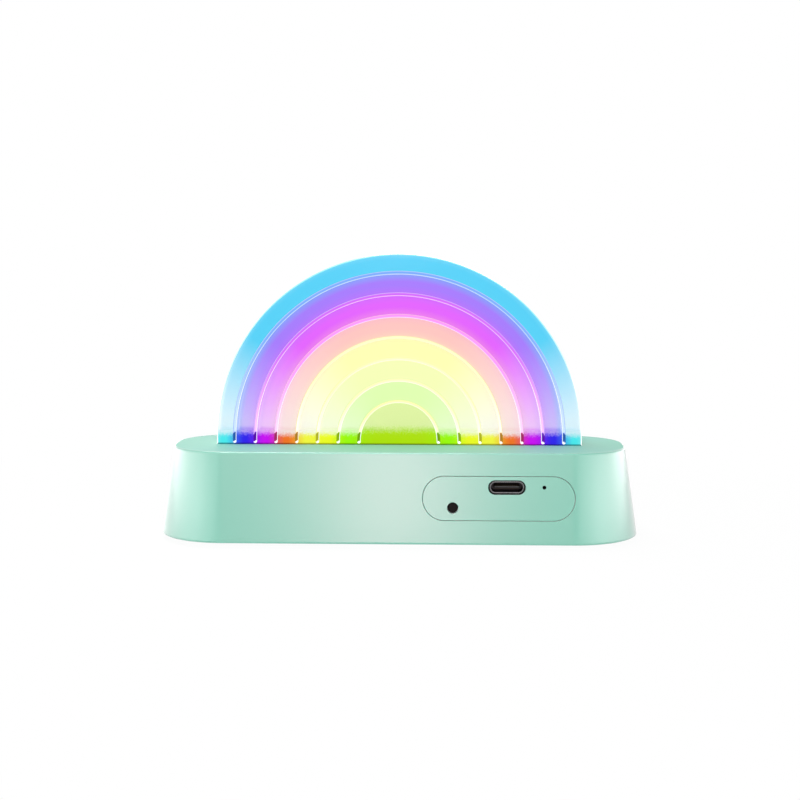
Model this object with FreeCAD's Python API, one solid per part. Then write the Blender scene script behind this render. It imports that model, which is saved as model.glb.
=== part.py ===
"""Rainbow night lamp: a slotted clear half-disc, lit from below, on a low mint base.

Millimetres, +Z up. The origin is under the middle of the base, on the surface
that the lamp stands on. The face with the charging port looks along -Y.
"""
import FreeCAD, Part
import math
import os

V = FreeCAD.Vector

# Driving dimensions of the base
TOP_LENGTH = 121.0
TOP_DEPTH = 36.0
TOP_CORNER_RADIUS = 15.0
BASE_HEIGHT = 23.6
DRAFT_ANGLE = 8.4
BOTTOM_FILLET = 0.5
TOP_EDGE_RADIUS = 0.5
WALL = 2.2
CEILING = 2.4

# Driving dimensions of the rainbow plate
RAINBOW_RADIUS = 49.1
PLATE_THICKNESS = 6.0
ARC_RISE = 2.0
SLOT_RISE = 1.87
SLOT_RISE_STEP = 0.13
OUTER_BAND = 4.8
BAND_PITCH = 5.6
SLOT_COUNT = 7
SLOT_WIDTH = 0.55
SLOT_FOOT = 0.5
SLOT_WEB = 0.6
EAR_WIDTH = 1.8
EAR_HEIGHT = 3.0
PLATE_CLEARANCE = 0.15

# Driving dimensions of the port panel, measured from its own centre
PANEL_HEIGHT = 11.5
PANEL_END_MARGIN = 14.2
PANEL_BELOW_TOP = 11.65
PANEL_SEAM = 0.15
PANEL_LEDGE = 0.6
PANEL_LEDGE_WALL = 1.4
HOOK_WIDTH = 2.2
HOOK_THICKNESS = 0.9
HOOK_BARB = 0.5
HOOK_BARB_LENGTH = 1.0
HOOK_TIP = 0.6
HOOK_GAP = 0.1
UPPER_HOOKS = (-6.2, 8.2)
LOWER_HOOKS = (-5.0, 8.0)

# Driving dimensions of the charging port
PORT_OFFSET = (2.1, 2.85)
PORT_LENGTH = 8.94
PORT_HEIGHT = 3.16
PORT_SHELL_WALL = 0.3
PORT_DEPTH = 6.8
PORT_RECESS = 0.35
PORT_GAP = (0.38, 0.25)
TONGUE_LENGTH = 6.7
TONGUE_THICKNESS = 0.7
TONGUE_RECESS = 0.6
TONGUE_ROOT = 2.2
TONGUE_FIT = 0.03
CONTACT_COUNT = 12
CONTACT_PITCH = 0.5
CONTACT_WIDTH = 0.28
CONTACT_THICKNESS = 0.08
CONTACT_SETBACK = 0.3

# Driving dimensions of the push switch, placed from the board's left end
SWITCH_OFFSET = (7.6, -2.45)
SWITCH_SIZE = 6.0
SWITCH_BODY_DEPTH = 3.1
SWITCH_COVER_THICKNESS = 0.3
SWITCH_WELL_RADIUS = 2.1
SWITCH_WELL_DEPTH = 2.2
BUTTON_RADIUS = 1.27
BUTTON_HOLE_GAP = 0.18
BUTTON_RUNNING_GAP = 0.08
BUTTON_FLANGE_RADIUS = 1.9
BUTTON_FLANGE_THICKNESS = 0.8
BUTTON_EDGE_RADIUS = 0.3
BUTTON_SEAT_GAP = 0.05
BUTTON_RECESS = 0.1
BUTTON_TRAVEL = 0.3
DOME_RADIUS = 2.0
DOME_THICKNESS = 0.25

# Driving dimensions of the microphone
MIC_OFFSET = (11.75, 2.9)
MIC_HOLE_RADIUS = 0.5
MIC_RADIUS = 1.7
MIC_DEPTH = 2.0
MIC_BOOT_WALL = 0.45
MIC_BOOT_LIP = 0.8
MIC_BOOT_FIT = 0.03
MIC_SPOUT_RADIUS = 1.2

# Driving dimensions of the main circuit board, with its posts placed from its ends
BOARD_LENGTH = 39.0
BOARD_END_GAP = 0.3
BOARD_HEIGHT = 14.0
BOARD_THICKNESS = 1.2
BOARD_POST_OFFSET = (2.8, 2.05)
BOARD_POST_RADIUS = 1.6
BOARD_SCREW_RADIUS = 0.8
BOARD_SCREW_BITE = 3.6
CONTROLLER_SIZE = (9.9, 1.6, 3.9)
CONTROLLER_OFFSET = (-8.0, 3.6)
CHARGER_SIZE = (4.9, 1.5, 3.9)
CHARGER_OFFSET = (4.0, 3.6)
CAPACITOR_SIZE = (1.6, 0.8, 0.8)
CAPACITOR_COUNT = 5
CAPACITOR_PITCH = 2.6
CAPACITOR_OFFSET = (10.0, 5.2)

# Driving dimensions of the two plugs on the board, each placed from its end of the board
SOCKET_HEIGHT = 3.6
SOCKET_DEPTH = 4.0
SOCKET_WALL = 0.6
SOCKET_DROP = 3.6
PLUG_DEPTH = 4.4
PLUG_FIT = 0.05
WIRE_PITCH = 1.6
WIRE_RADIUS = 0.55
WIRE_BEND_SHARE = 0.45
BATTERY_SOCKET_OFFSET = 7.0
LED_SOCKET_OFFSET = 9.0
BATTERY_WIRES = 2
LED_WIRES = 3

# Driving dimensions of the light frame and its board
LED_SIZE = (3.5, 2.8, 1.9)
LED_CUP_RADIUS = 1.1
LED_CUP_FLARE = 0.1
LED_CUP_DEPTH = 0.6
CENTRE_LED_COUNT = 3
WINDOW_MARGIN = 0.4
WINDOW_DEPTH = 3.6
FRAME_WALL = 2.2
FRAME_END_WALL = 1.4
FRAME_TOP_GAP = 0.1
LUG_RADIUS = 2.6
LUG_HEIGHT = 3.0
LUG_GAP = 0.3
LUG_PLACES = ((-34.0, 1), (34.0, 1), (-20.0, -1))
FRAME_SCREW_BITE = 4.0
LED_BOARD_THICKNESS = 1.2

# Driving dimensions of the bottom cover, feet and screws
COVER_THICKNESS = 2.2
COVER_GAP = 0.15
COVER_PAD_RADIUS = 3.6
COVER_PAD_HEIGHT = 1.2
POST_RADIUS = 2.75
POST_ROOT = 0.8
POST_END_INSET = 7.8
POST_SIDE_INSET = 4.2
COVER_SCREW_BITE = 6.0
COVER_HEAD_DEPTH = 1.6
FOOT_HEIGHT = 1.4
FOOT_RECESS = 0.4
FOOT_RADIUS = 4.5
FOOT_FIT = 0.05
FOOT_CHAMFER = 0.3
FOOT_PLACE = (38.0, 8.0)
SCREW_RADIUS = 1.0
SCREW_HEAD_RADIUS = 1.9
SCREW_HEAD_HEIGHT = 1.5
SCREW_THREAD_GAP = 0.03
SCREW_HOLE_GAP = 0.2
DRIVE_WIDTH = 0.5
DRIVE_DEPTH = 0.7
DRIVE_SHARE = 0.6
HEAD_CROWN_SHARE = 0.45
TIP_SHARE = 0.6
TIP_END_SHARE = 0.45

# Driving dimensions of the battery
BATTERY_SIZE = (44.0, 16.0, 7.0)
BATTERY_EDGE_RADIUS = 1.8
TAPE_MARGIN = 3.0
TAPE_THICKNESS = 0.8

# How near two edges count as one height
TOUCH = 1e-4

# Levels and walls worked out from the driving dimensions
SLOPE = math.tan(math.radians(DRAFT_ANGLE))
BASE_BOTTOM = FOOT_HEIGHT
BASE_TOP = BASE_BOTTOM + BASE_HEIGHT
CEILING_UNDER = BASE_TOP - CEILING
INNER_HALF_LENGTH = TOP_LENGTH / 2 - WALL
INNER_HALF_DEPTH = TOP_DEPTH / 2 - WALL
INNER_CORNER_RADIUS = TOP_CORNER_RADIUS - WALL
BOTTOM_SPREAD = BASE_HEIGHT * SLOPE
COVER_INSIDE = BASE_BOTTOM + COVER_THICKNESS
POST_FOOT = COVER_INSIDE + COVER_PAD_HEIGHT
PLATE_BOTTOM = CEILING_UNDER - EAR_HEIGHT
FRAME_BOTTOM = PLATE_BOTTOM - WINDOW_DEPTH
FRAME_TOP = CEILING_UNDER - FRAME_TOP_GAP
LUG_TOP = FRAME_BOTTOM + LUG_HEIGHT
LED_BOARD_BOTTOM = FRAME_BOTTOM - LED_BOARD_THICKNESS
FRAME_HALF_DEPTH = PLATE_THICKNESS / 2 + PLATE_CLEARANCE + FRAME_WALL
FRAME_HALF_LENGTH = RAINBOW_RADIUS + EAR_WIDTH + PLATE_CLEARANCE + FRAME_END_WALL
LUG_OUT = FRAME_HALF_DEPTH + LUG_GAP + LUG_RADIUS
PANEL_LENGTH = BOARD_LENGTH + 2 * BOARD_END_GAP
PANEL_X = TOP_LENGTH / 2 - PANEL_END_MARGIN - PANEL_LENGTH / 2
PANEL_Z = BASE_TOP - PANEL_BELOW_TOP
LEDGE_Y = -INNER_HALF_DEPTH - PANEL_LEDGE_WALL
FAR_OUT_Y = -(TOP_DEPTH / 2 + BOTTOM_SPREAD + WALL)


def face_y(z):
    """Y of the sloping front face at a height."""
    return -(TOP_DEPTH / 2 + (BASE_TOP - z) * SLOPE)


def on_panel(offset):
    """X and Z of a feature, from its offset to the panel's centre."""
    return PANEL_X + offset[0], PANEL_Z + offset[1]


PORT_X, PORT_Z = on_panel(PORT_OFFSET)
MIC_X, MIC_Z = on_panel(MIC_OFFSET)
PORT_MOUTH = face_y(PORT_Z) + PORT_RECESS
BOARD_FRONT = PORT_MOUTH + PORT_DEPTH
BOARD_BACK = BOARD_FRONT + BOARD_THICKNESS
BOARD_LEFT = PANEL_X - BOARD_LENGTH / 2
BOARD_RIGHT = PANEL_X + BOARD_LENGTH / 2
SWITCH_X = BOARD_LEFT + SWITCH_OFFSET[0]
SWITCH_Z = PANEL_Z + SWITCH_OFFSET[1]
BATTERY_X = (BOARD_LEFT - INNER_HALF_LENGTH) / 2
BATTERY_BOTTOM = COVER_INSIDE + TAPE_THICKNESS
BATTERY_SOCKET_X = BOARD_LEFT + BATTERY_SOCKET_OFFSET
LED_SOCKET_X = BOARD_RIGHT - LED_SOCKET_OFFSET
SOCKET_Z = PANEL_Z - SOCKET_DROP
PLUG_MOUTH = BOARD_BACK + SOCKET_DEPTH - PLUG_DEPTH / 2


def box(x0, x1, y0, y1, z0, z1):
    """A block between two corners."""
    return Part.makeBox(x1 - x0, y1 - y0, z1 - z0, V(x0, y0, z0))


def centred_box(size, x, y0, z):
    """A block centred on x and z, from y0 towards +Y."""
    return box(x - size[0] / 2, x + size[0] / 2, y0, y0 + size[1], z - size[2] / 2, z + size[2] / 2)


def post(radius, x, y, z0, z1):
    """A round post along Z."""
    return Part.makeCylinder(radius, z1 - z0, V(x, y, z0), V(0, 0, 1))


def peg(radius, x, z, y0, y1):
    """A round peg along Y."""
    return Part.makeCylinder(radius, y1 - y0, V(x, y0, z), V(0, 1, 0))


def round_rectangle(half_length, half_depth, radius, z):
    """A level wire with straight sides and round corners."""
    a = half_length - radius
    b = half_depth - radius
    edges = []
    for quarter, (sx, sy) in enumerate(((1, 1), (-1, 1), (-1, -1), (1, -1))):
        start = quarter * math.pi / 2
        centre = V(sx * a, sy * b, z)
        points = []
        for step in range(3):
            angle = start + step * math.pi / 4
            points.append(centre + V(radius * math.cos(angle), radius * math.sin(angle), 0))
        edges.append((points, Part.Arc(*points).toShape()))
    wire = []
    for index, (points, arc) in enumerate(edges):
        following = edges[(index + 1) % len(edges)][0][0]
        wire.append(arc)
        wire.append(Part.LineSegment(points[2], following).toShape())
    return Part.Wire(wire)


def round_slab(half_length, half_depth, radius, z0, z1):
    """An upright slab with round corners."""
    face = Part.Face(round_rectangle(half_length, half_depth, radius, z0))
    return face.extrude(V(0, 0, z1 - z0))


def oval(length, height, x, z, y0, y1):
    """A bar along Y whose section is a slot with full round ends."""
    radius = height / 2
    half = length / 2 - radius
    low_left = V(x - half, y0, z - radius)
    low_right = V(x + half, y0, z - radius)
    high_right = V(x + half, y0, z + radius)
    high_left = V(x - half, y0, z + radius)
    wire = Part.Wire([
        Part.LineSegment(low_left, low_right).toShape(),
        Part.Arc(low_right, V(x + half + radius, y0, z), high_right).toShape(),
        Part.LineSegment(high_right, high_left).toShape(),
        Part.Arc(high_left, V(x - half - radius, y0, z), low_left).toShape(),
    ])
    return Part.Face(wire).extrude(V(0, y1 - y0, 0))


def level_edges(shape, z):
    """The edges of a shape that lie at one height."""
    found = []
    for edge in shape.Edges:
        if abs(edge.BoundBox.ZMin - z) < TOUCH and abs(edge.BoundBox.ZMax - z) < TOUCH:
            found.append(edge)
    return found


def cross_screw(length, radius, head_radius, head_height):
    """A pan-head screw along +Z, with the underside of its head at the origin."""
    head = Part.makeCylinder(head_radius, head_height, V(0, 0, -head_height))
    head = head.makeFillet(head_height * HEAD_CROWN_SHARE, level_edges(head, -head_height))
    tip = radius * TIP_SHARE
    shank = Part.makeCylinder(radius, length - tip)
    cone = Part.makeCone(radius, radius * TIP_END_SHARE, tip, V(0, 0, length - tip))
    screw = head.fuse(shank).fuse(cone)
    arm = head_radius * DRIVE_SHARE
    half = DRIVE_WIDTH / 2
    low = -head_height
    cross = box(-arm, arm, -half, half, low, low + DRIVE_DEPTH)
    cross = cross.fuse(box(-half, half, -arm, arm, low, low + DRIVE_DEPTH))
    return screw.cut(cross).removeSplitter()


def outer_form():
    """The drafted outside of the base, with its rounded bottom and crisp top edge."""
    spread = BOTTOM_SPREAD
    low = round_rectangle(TOP_LENGTH / 2 + spread, TOP_DEPTH / 2 + spread,
                          TOP_CORNER_RADIUS + spread, BASE_BOTTOM)
    high = round_rectangle(TOP_LENGTH / 2, TOP_DEPTH / 2, TOP_CORNER_RADIUS, BASE_TOP)
    form = Part.makeLoft([low, high], True, True)
    form = form.makeFillet(BOTTOM_FILLET, level_edges(form, BASE_BOTTOM))
    return form.makeFillet(TOP_EDGE_RADIUS, level_edges(form, BASE_TOP))


def cover_post_places():
    """Where the four long posts for the bottom cover stand."""
    x = INNER_HALF_LENGTH - POST_END_INSET
    y = INNER_HALF_DEPTH - POST_SIDE_INSET
    return [(sx * x, sy * y) for sx in (-1, 1) for sy in (-1, 1)]


def lug_places():
    """Where the light frame is screwed to the ceiling."""
    return [(x, side * LUG_OUT) for x, side in LUG_PLACES]


def led_places():
    """X of every lamp: one under each foot of each arch, and a few under the middle."""
    outer = RAINBOW_RADIUS - OUTER_BAND
    places = [RAINBOW_RADIUS - OUTER_BAND / 2]
    for index in range(SLOT_COUNT - 1):
        places.append(outer - (index + 0.5) * BAND_PITCH)
    places += [-x for x in places]
    first = -(CENTRE_LED_COUNT - 1) / 2
    places += [(first + index) * BAND_PITCH for index in range(CENTRE_LED_COUNT)]
    return sorted(places)


def base_housing(form):
    """The mint shell: open below, slotted on top, with posts hanging inside."""
    cavity = round_slab(INNER_HALF_LENGTH, INNER_HALF_DEPTH, INNER_CORNER_RADIUS,
                        BASE_BOTTOM - WALL, CEILING_UNDER)
    shell = form.cut(cavity)
    rooted = CEILING_UNDER + POST_ROOT
    for x, y in cover_post_places():
        shell = shell.fuse(post(POST_RADIUS, x, y, POST_FOOT, rooted))
    for x, y in lug_places():
        shell = shell.fuse(post(LUG_RADIUS, x, y, LUG_TOP, rooted))
    thread = SCREW_RADIUS + SCREW_THREAD_GAP
    for x, y in cover_post_places():
        shell = shell.cut(post(thread, x, y, POST_FOOT, POST_FOOT + COVER_SCREW_BITE + SCREW_RADIUS))
    for x, y in lug_places():
        shell = shell.cut(post(thread, x, y, LUG_TOP, LUG_TOP + FRAME_SCREW_BITE))
    reach = RAINBOW_RADIUS + PLATE_CLEARANCE
    across = PLATE_THICKNESS / 2 + PLATE_CLEARANCE
    shell = shell.cut(box(-reach, reach, -across, across, CEILING_UNDER - WALL, BASE_TOP + WALL))
    shell = shell.cut(oval(PANEL_LENGTH, PANEL_HEIGHT, PANEL_X, PANEL_Z, FAR_OUT_Y, LEDGE_Y))
    shell = shell.cut(oval(PANEL_LENGTH - 2 * PANEL_LEDGE, PANEL_HEIGHT - 2 * PANEL_LEDGE,
                           PANEL_X, PANEL_Z, LEDGE_Y - WALL, -INNER_HALF_DEPTH + HOOK_GAP))
    return shell.removeSplitter()


def board_post_places():
    """Where the panel's two pegs carry the main board."""
    dx, dz = BOARD_POST_OFFSET
    return [(BOARD_LEFT + dx, PANEL_Z + dz), (BOARD_RIGHT - dx, PANEL_Z - dz)]


def panel_hook(x, side):
    """A snap hook that grips the inside of the wall, above (1) or below (-1) the opening."""
    edge = PANEL_HEIGHT / 2 - PANEL_LEDGE - PANEL_SEAM
    barb_start = -INNER_HALF_DEPTH + HOOK_GAP
    barb_end = barb_start + HOOK_BARB_LENGTH
    outline = [
        (LEDGE_Y, edge - HOOK_THICKNESS),
        (LEDGE_Y, edge),
        (barb_start, edge),
        (barb_start, edge + PANEL_SEAM + HOOK_BARB),
        (barb_end, edge - HOOK_THICKNESS + HOOK_TIP),
        (barb_end, edge - HOOK_THICKNESS),
    ]
    points = [V(x - HOOK_WIDTH / 2, y, PANEL_Z + side * z) for y, z in outline]
    face = Part.Face(Part.makePolygon(points + points[:1]))
    return face.extrude(V(HOOK_WIDTH, 0, 0))


def port_panel(form):
    """The oval insert, flush with the sloping face, with the port, button and sound holes."""
    plate = oval(PANEL_LENGTH - 2 * PANEL_SEAM, PANEL_HEIGHT - 2 * PANEL_SEAM,
                 PANEL_X, PANEL_Z, FAR_OUT_Y, LEDGE_Y)
    panel = plate.common(form)
    for x, z in board_post_places():
        panel = panel.fuse(peg(BOARD_POST_RADIUS, x, z, LEDGE_Y, BOARD_FRONT))
    for dx in UPPER_HOOKS:
        panel = panel.fuse(panel_hook(PANEL_X + dx, 1))
    for dx in LOWER_HOOKS:
        panel = panel.fuse(panel_hook(PANEL_X + dx, -1))
    boot_front = BOARD_FRONT - MIC_DEPTH - MIC_BOOT_LIP
    panel = panel.fuse(peg(MIC_SPOUT_RADIUS, MIC_X, MIC_Z, LEDGE_Y, boot_front))
    panel = panel.cut(peg(MIC_HOLE_RADIUS, MIC_X, MIC_Z, FAR_OUT_Y, boot_front))
    panel = panel.cut(peg(BUTTON_RADIUS + BUTTON_HOLE_GAP, SWITCH_X, SWITCH_Z, FAR_OUT_Y, LEDGE_Y))
    panel = panel.cut(oval(PORT_LENGTH + 2 * PORT_GAP[0], PORT_HEIGHT + 2 * PORT_GAP[1],
                           PORT_X, PORT_Z, FAR_OUT_Y, LEDGE_Y))
    for x, z in board_post_places():
        hole = BOARD_SCREW_RADIUS + SCREW_THREAD_GAP
        panel = panel.cut(peg(hole, x, z, BOARD_FRONT - BOARD_SCREW_BITE, BOARD_FRONT))
    return panel.removeSplitter()


def foot_places():
    """Where the four soft feet sit."""
    x, y = FOOT_PLACE
    return [(sx * x, sy * y) for sx in (-1, 1) for sy in (-1, 1)]


def bottom_cover():
    """The plate that closes the base, with sunk screw heads and shallow seats for the feet."""
    cover = round_slab(INNER_HALF_LENGTH - COVER_GAP, INNER_HALF_DEPTH - COVER_GAP,
                       INNER_CORNER_RADIUS - COVER_GAP, BASE_BOTTOM, COVER_INSIDE)
    for x, y in cover_post_places():
        pad = post(COVER_PAD_RADIUS, x, y, COVER_INSIDE - COVER_THICKNESS / 2, POST_FOOT)
        inside = round_slab(INNER_HALF_LENGTH - COVER_GAP, INNER_HALF_DEPTH - COVER_GAP,
                            INNER_CORNER_RADIUS - COVER_GAP, BASE_BOTTOM, POST_FOOT)
        cover = cover.fuse(pad.common(inside))
    for x, y in cover_post_places():
        cover = cover.cut(post(SCREW_RADIUS + SCREW_HOLE_GAP, x, y, BASE_BOTTOM, POST_FOOT))
        cover = cover.cut(post(SCREW_HEAD_RADIUS + SCREW_HOLE_GAP, x, y, BASE_BOTTOM,
                               BASE_BOTTOM + COVER_HEAD_DEPTH))
    for x, y in foot_places():
        cover = cover.cut(post(FOOT_RADIUS + FOOT_FIT, x, y, BASE_BOTTOM, BASE_BOTTOM + FOOT_RECESS))
    return cover.removeSplitter()


def foot_pads():
    """Four soft pads pressed into their seats."""
    pads = []
    for x, y in foot_places():
        pad = post(FOOT_RADIUS, x, y, 0, BASE_BOTTOM + FOOT_RECESS)
        pads.append(pad.makeChamfer(FOOT_CHAMFER, level_edges(pad, 0)))
    return Part.makeCompound(pads)


def cover_screws():
    """Four screws, driven up through the cover into the long posts."""
    seat = BASE_BOTTOM + COVER_HEAD_DEPTH
    length = POST_FOOT - seat + COVER_SCREW_BITE
    screw = cross_screw(length, SCREW_RADIUS, SCREW_HEAD_RADIUS, SCREW_HEAD_HEIGHT)
    return Part.makeCompound([screw.translated(V(x, y, seat)) for x, y in cover_post_places()])


def rainbow_plate():
    """The clear half-disc with its slots in both faces, and the eared foot inside the base."""
    centre = V(0, -PLATE_THICKNESS / 2, BASE_TOP + ARC_RISE)
    disc = Part.makeCylinder(RAINBOW_RADIUS, PLATE_THICKNESS, centre, V(0, 1, 0))
    half = PLATE_THICKNESS / 2
    above = box(-RAINBOW_RADIUS, RAINBOW_RADIUS, -half, half, centre.z, centre.z + RAINBOW_RADIUS)
    plate = disc.common(above)
    plate = plate.fuse(box(-RAINBOW_RADIUS, RAINBOW_RADIUS, -half, half, PLATE_BOTTOM, centre.z))
    ear = RAINBOW_RADIUS + EAR_WIDTH
    plate = plate.fuse(box(-ear, ear, -half, half, PLATE_BOTTOM, PLATE_BOTTOM + EAR_HEIGHT))
    for index in range(SLOT_COUNT):
        radius = RAINBOW_RADIUS - OUTER_BAND - index * BAND_PITCH
        for side in (-1, 1):
            plate = plate.cut(arch_slot(radius, SLOT_RISE - index * SLOT_RISE_STEP, side))
    return plate.removeSplitter()


def arch_slot(radius, rise, side):
    """One thin slot in the front (-1) or back (1) face: a half circle, straight legs and round ends.

    The two slots of a pair leave a thin web between them in the middle of the plate.
    """
    outer = radius + SLOT_WIDTH / 2
    inner = radius - SLOT_WIDTH / 2
    end = BASE_TOP + SLOT_FOOT + SLOT_WIDTH / 2
    y = side * (PLATE_THICKNESS / 2 + WALL)
    z = BASE_TOP + rise
    wire = Part.Wire([
        Part.Arc(V(-outer, y, z), V(0, y, z + outer), V(outer, y, z)).toShape(),
        Part.LineSegment(V(outer, y, z), V(outer, y, end)).toShape(),
        Part.Arc(V(outer, y, end), V(radius, y, end - SLOT_WIDTH / 2), V(inner, y, end)).toShape(),
        Part.LineSegment(V(inner, y, end), V(inner, y, z)).toShape(),
        Part.Arc(V(inner, y, z), V(0, y, z + inner), V(-inner, y, z)).toShape(),
        Part.LineSegment(V(-inner, y, z), V(-inner, y, end)).toShape(),
        Part.Arc(V(-inner, y, end), V(-radius, y, end - SLOT_WIDTH / 2), V(-outer, y, end)).toShape(),
        Part.LineSegment(V(-outer, y, end), V(-outer, y, z)).toShape(),
    ])
    return Part.Face(wire).extrude(V(0, side * SLOT_WEB / 2 - y, 0))


def lugged_slab(z0, z1, lug_z1):
    """A bar under the plate with a round lug at each ceiling screw."""
    slab = box(-FRAME_HALF_LENGTH, FRAME_HALF_LENGTH, -FRAME_HALF_DEPTH, FRAME_HALF_DEPTH, z0, z1)
    for x, y in lug_places():
        slab = slab.fuse(post(LUG_RADIUS, x, y, z0, lug_z1))
        slab = slab.fuse(box(x - LUG_RADIUS, x + LUG_RADIUS, min(0, y), max(0, y), z0, lug_z1))
    for x, y in lug_places():
        slab = slab.cut(post(SCREW_RADIUS + SCREW_HOLE_GAP, x, y, z0, z1))
    return slab


def light_frame():
    """The white frame that carries the plate's foot and keeps the lamps' colours apart."""
    frame = lugged_slab(FRAME_BOTTOM, FRAME_TOP, LUG_TOP)
    reach = RAINBOW_RADIUS + EAR_WIDTH + PLATE_CLEARANCE
    across = PLATE_THICKNESS / 2 + PLATE_CLEARANCE
    frame = frame.cut(box(-reach, reach, -across, across, PLATE_BOTTOM, FRAME_TOP))
    half_x = LED_SIZE[0] / 2 + WINDOW_MARGIN
    half_y = LED_SIZE[1] / 2 + WINDOW_MARGIN
    for x in led_places():
        frame = frame.cut(box(x - half_x, x + half_x, -half_y, half_y, FRAME_BOTTOM, PLATE_BOTTOM))
    return frame.removeSplitter()


def led_board():
    """The lamp board, screwed up under the light frame."""
    return lugged_slab(LED_BOARD_BOTTOM, FRAME_BOTTOM, FRAME_BOTTOM).removeSplitter()


def leds():
    """The lamps, one under each foot of each arch."""
    half_x, half_y = LED_SIZE[0] / 2, LED_SIZE[1] / 2
    lamps = []
    for x in led_places():
        lamp = box(x - half_x, x + half_x, -half_y, half_y, FRAME_BOTTOM, FRAME_BOTTOM + LED_SIZE[2])
        cup = Part.makeCone(LED_CUP_RADIUS - LED_CUP_FLARE, LED_CUP_RADIUS, LED_CUP_DEPTH,
                            V(x, 0, FRAME_BOTTOM + LED_SIZE[2] - LED_CUP_DEPTH))
        lamps.append(lamp.cut(cup))
    return Part.makeCompound(lamps)


def frame_screws():
    """The screws that hold the lamp board and light frame to the ceiling."""
    length = LUG_TOP - LED_BOARD_BOTTOM + FRAME_SCREW_BITE - SCREW_RADIUS / 2
    screw = cross_screw(length, SCREW_RADIUS, SCREW_HEAD_RADIUS, SCREW_HEAD_HEIGHT)
    return Part.makeCompound([screw.translated(V(x, y, LED_BOARD_BOTTOM)) for x, y in lug_places()])


def main_board():
    """The upright board behind the panel."""
    half_z = BOARD_HEIGHT / 2
    board = box(BOARD_LEFT, BOARD_RIGHT, BOARD_FRONT, BOARD_BACK, PANEL_Z - half_z, PANEL_Z + half_z)
    for x, z in board_post_places():
        board = board.cut(peg(BOARD_SCREW_RADIUS + SCREW_HOLE_GAP, x, z, BOARD_FRONT, BOARD_BACK))
    return board


def board_screws():
    """Two small screws that hold the main board to the panel's pegs."""
    length = BOARD_THICKNESS + BOARD_SCREW_BITE - BOARD_SCREW_RADIUS / 2
    scale = BOARD_SCREW_RADIUS / SCREW_RADIUS
    screw = cross_screw(length, BOARD_SCREW_RADIUS, SCREW_HEAD_RADIUS * scale, SCREW_HEAD_HEIGHT * scale)
    screw = screw.rotated(V(0, 0, 0), V(1, 0, 0), 90)
    return Part.makeCompound([screw.translated(V(x, BOARD_BACK, z)) for x, z in board_post_places()])


def usb_shell():
    """The drawn steel shell of the charging port."""
    outer = oval(PORT_LENGTH, PORT_HEIGHT, PORT_X, PORT_Z, PORT_MOUTH, BOARD_FRONT)
    wall = 2 * PORT_SHELL_WALL
    return outer.cut(oval(PORT_LENGTH - wall, PORT_HEIGHT - wall, PORT_X, PORT_Z, PORT_MOUTH, BOARD_FRONT))


def usb_tongue():
    """The moulded core of the port with its flat tongue."""
    wall = 2 * (PORT_SHELL_WALL + TONGUE_FIT)
    root = BOARD_FRONT - TONGUE_ROOT
    core = oval(PORT_LENGTH - wall, PORT_HEIGHT - wall, PORT_X, PORT_Z, root, BOARD_FRONT)
    tip = PORT_MOUTH + TONGUE_RECESS
    tongue = centred_box((TONGUE_LENGTH, root - tip, TONGUE_THICKNESS), PORT_X, tip, PORT_Z)
    return core.fuse(tongue).removeSplitter()


def usb_contacts():
    """Rows of gilt contacts on both faces of the tongue."""
    start = PORT_MOUTH + TONGUE_RECESS + CONTACT_SETBACK
    size = (CONTACT_WIDTH, BOARD_FRONT - TONGUE_ROOT - start, CONTACT_THICKNESS)
    strips = []
    for index in range(CONTACT_COUNT):
        x = PORT_X + (index - (CONTACT_COUNT - 1) / 2) * CONTACT_PITCH
        for side in (-1, 1):
            z = PORT_Z + side * (TONGUE_THICKNESS + CONTACT_THICKNESS) / 2
            strips.append(centred_box(size, x, start, z))
    return Part.makeCompound(strips)


def switch_body():
    """The moulded body of the push switch, with a round well for the button's flange."""
    front = BOARD_FRONT - SWITCH_BODY_DEPTH
    body = centred_box((SWITCH_SIZE, SWITCH_BODY_DEPTH, SWITCH_SIZE), SWITCH_X, front, SWITCH_Z)
    return body.cut(peg(SWITCH_WELL_RADIUS, SWITCH_X, SWITCH_Z, front, front + SWITCH_WELL_DEPTH))


def switch_cover():
    """The steel plate that keeps the button in the switch."""
    front = BOARD_FRONT - SWITCH_BODY_DEPTH - SWITCH_COVER_THICKNESS
    size = (SWITCH_SIZE, SWITCH_COVER_THICKNESS, SWITCH_SIZE)
    plate = centred_box(size, SWITCH_X, front, SWITCH_Z)
    hole_radius = BUTTON_RADIUS + BUTTON_RUNNING_GAP
    return plate.cut(peg(hole_radius, SWITCH_X, SWITCH_Z, front, front + SWITCH_COVER_THICKNESS))


def push_button():
    """The black button: a stem that ends in the panel's hole, on a flange inside the switch."""
    seat = BOARD_FRONT - SWITCH_BODY_DEPTH + BUTTON_SEAT_GAP
    tip = face_y(SWITCH_Z) + BUTTON_RECESS
    stem = peg(BUTTON_RADIUS, SWITCH_X, SWITCH_Z, tip, seat)
    rim = [edge for edge in stem.Edges if abs(edge.BoundBox.YMax - tip) < TOUCH]
    stem = stem.makeFillet(BUTTON_EDGE_RADIUS, rim)
    flange = peg(BUTTON_FLANGE_RADIUS, SWITCH_X, SWITCH_Z, seat, seat + BUTTON_FLANGE_THICKNESS)
    return stem.fuse(flange).removeSplitter()


def switch_dome():
    """The snap disc at the bottom of the switch's well, clear of the pressed button."""
    floor = BOARD_FRONT - SWITCH_BODY_DEPTH + SWITCH_WELL_DEPTH
    disc = peg(DOME_RADIUS, SWITCH_X, SWITCH_Z, floor - DOME_THICKNESS, floor)
    seat = BOARD_FRONT - SWITCH_BODY_DEPTH + BUTTON_SEAT_GAP
    pressed = seat + BUTTON_FLANGE_THICKNESS + BUTTON_TRAVEL
    nub = peg(DOME_RADIUS / 2, SWITCH_X, SWITCH_Z, pressed + BUTTON_SEAT_GAP, floor)
    return disc.fuse(nub).removeSplitter()


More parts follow.
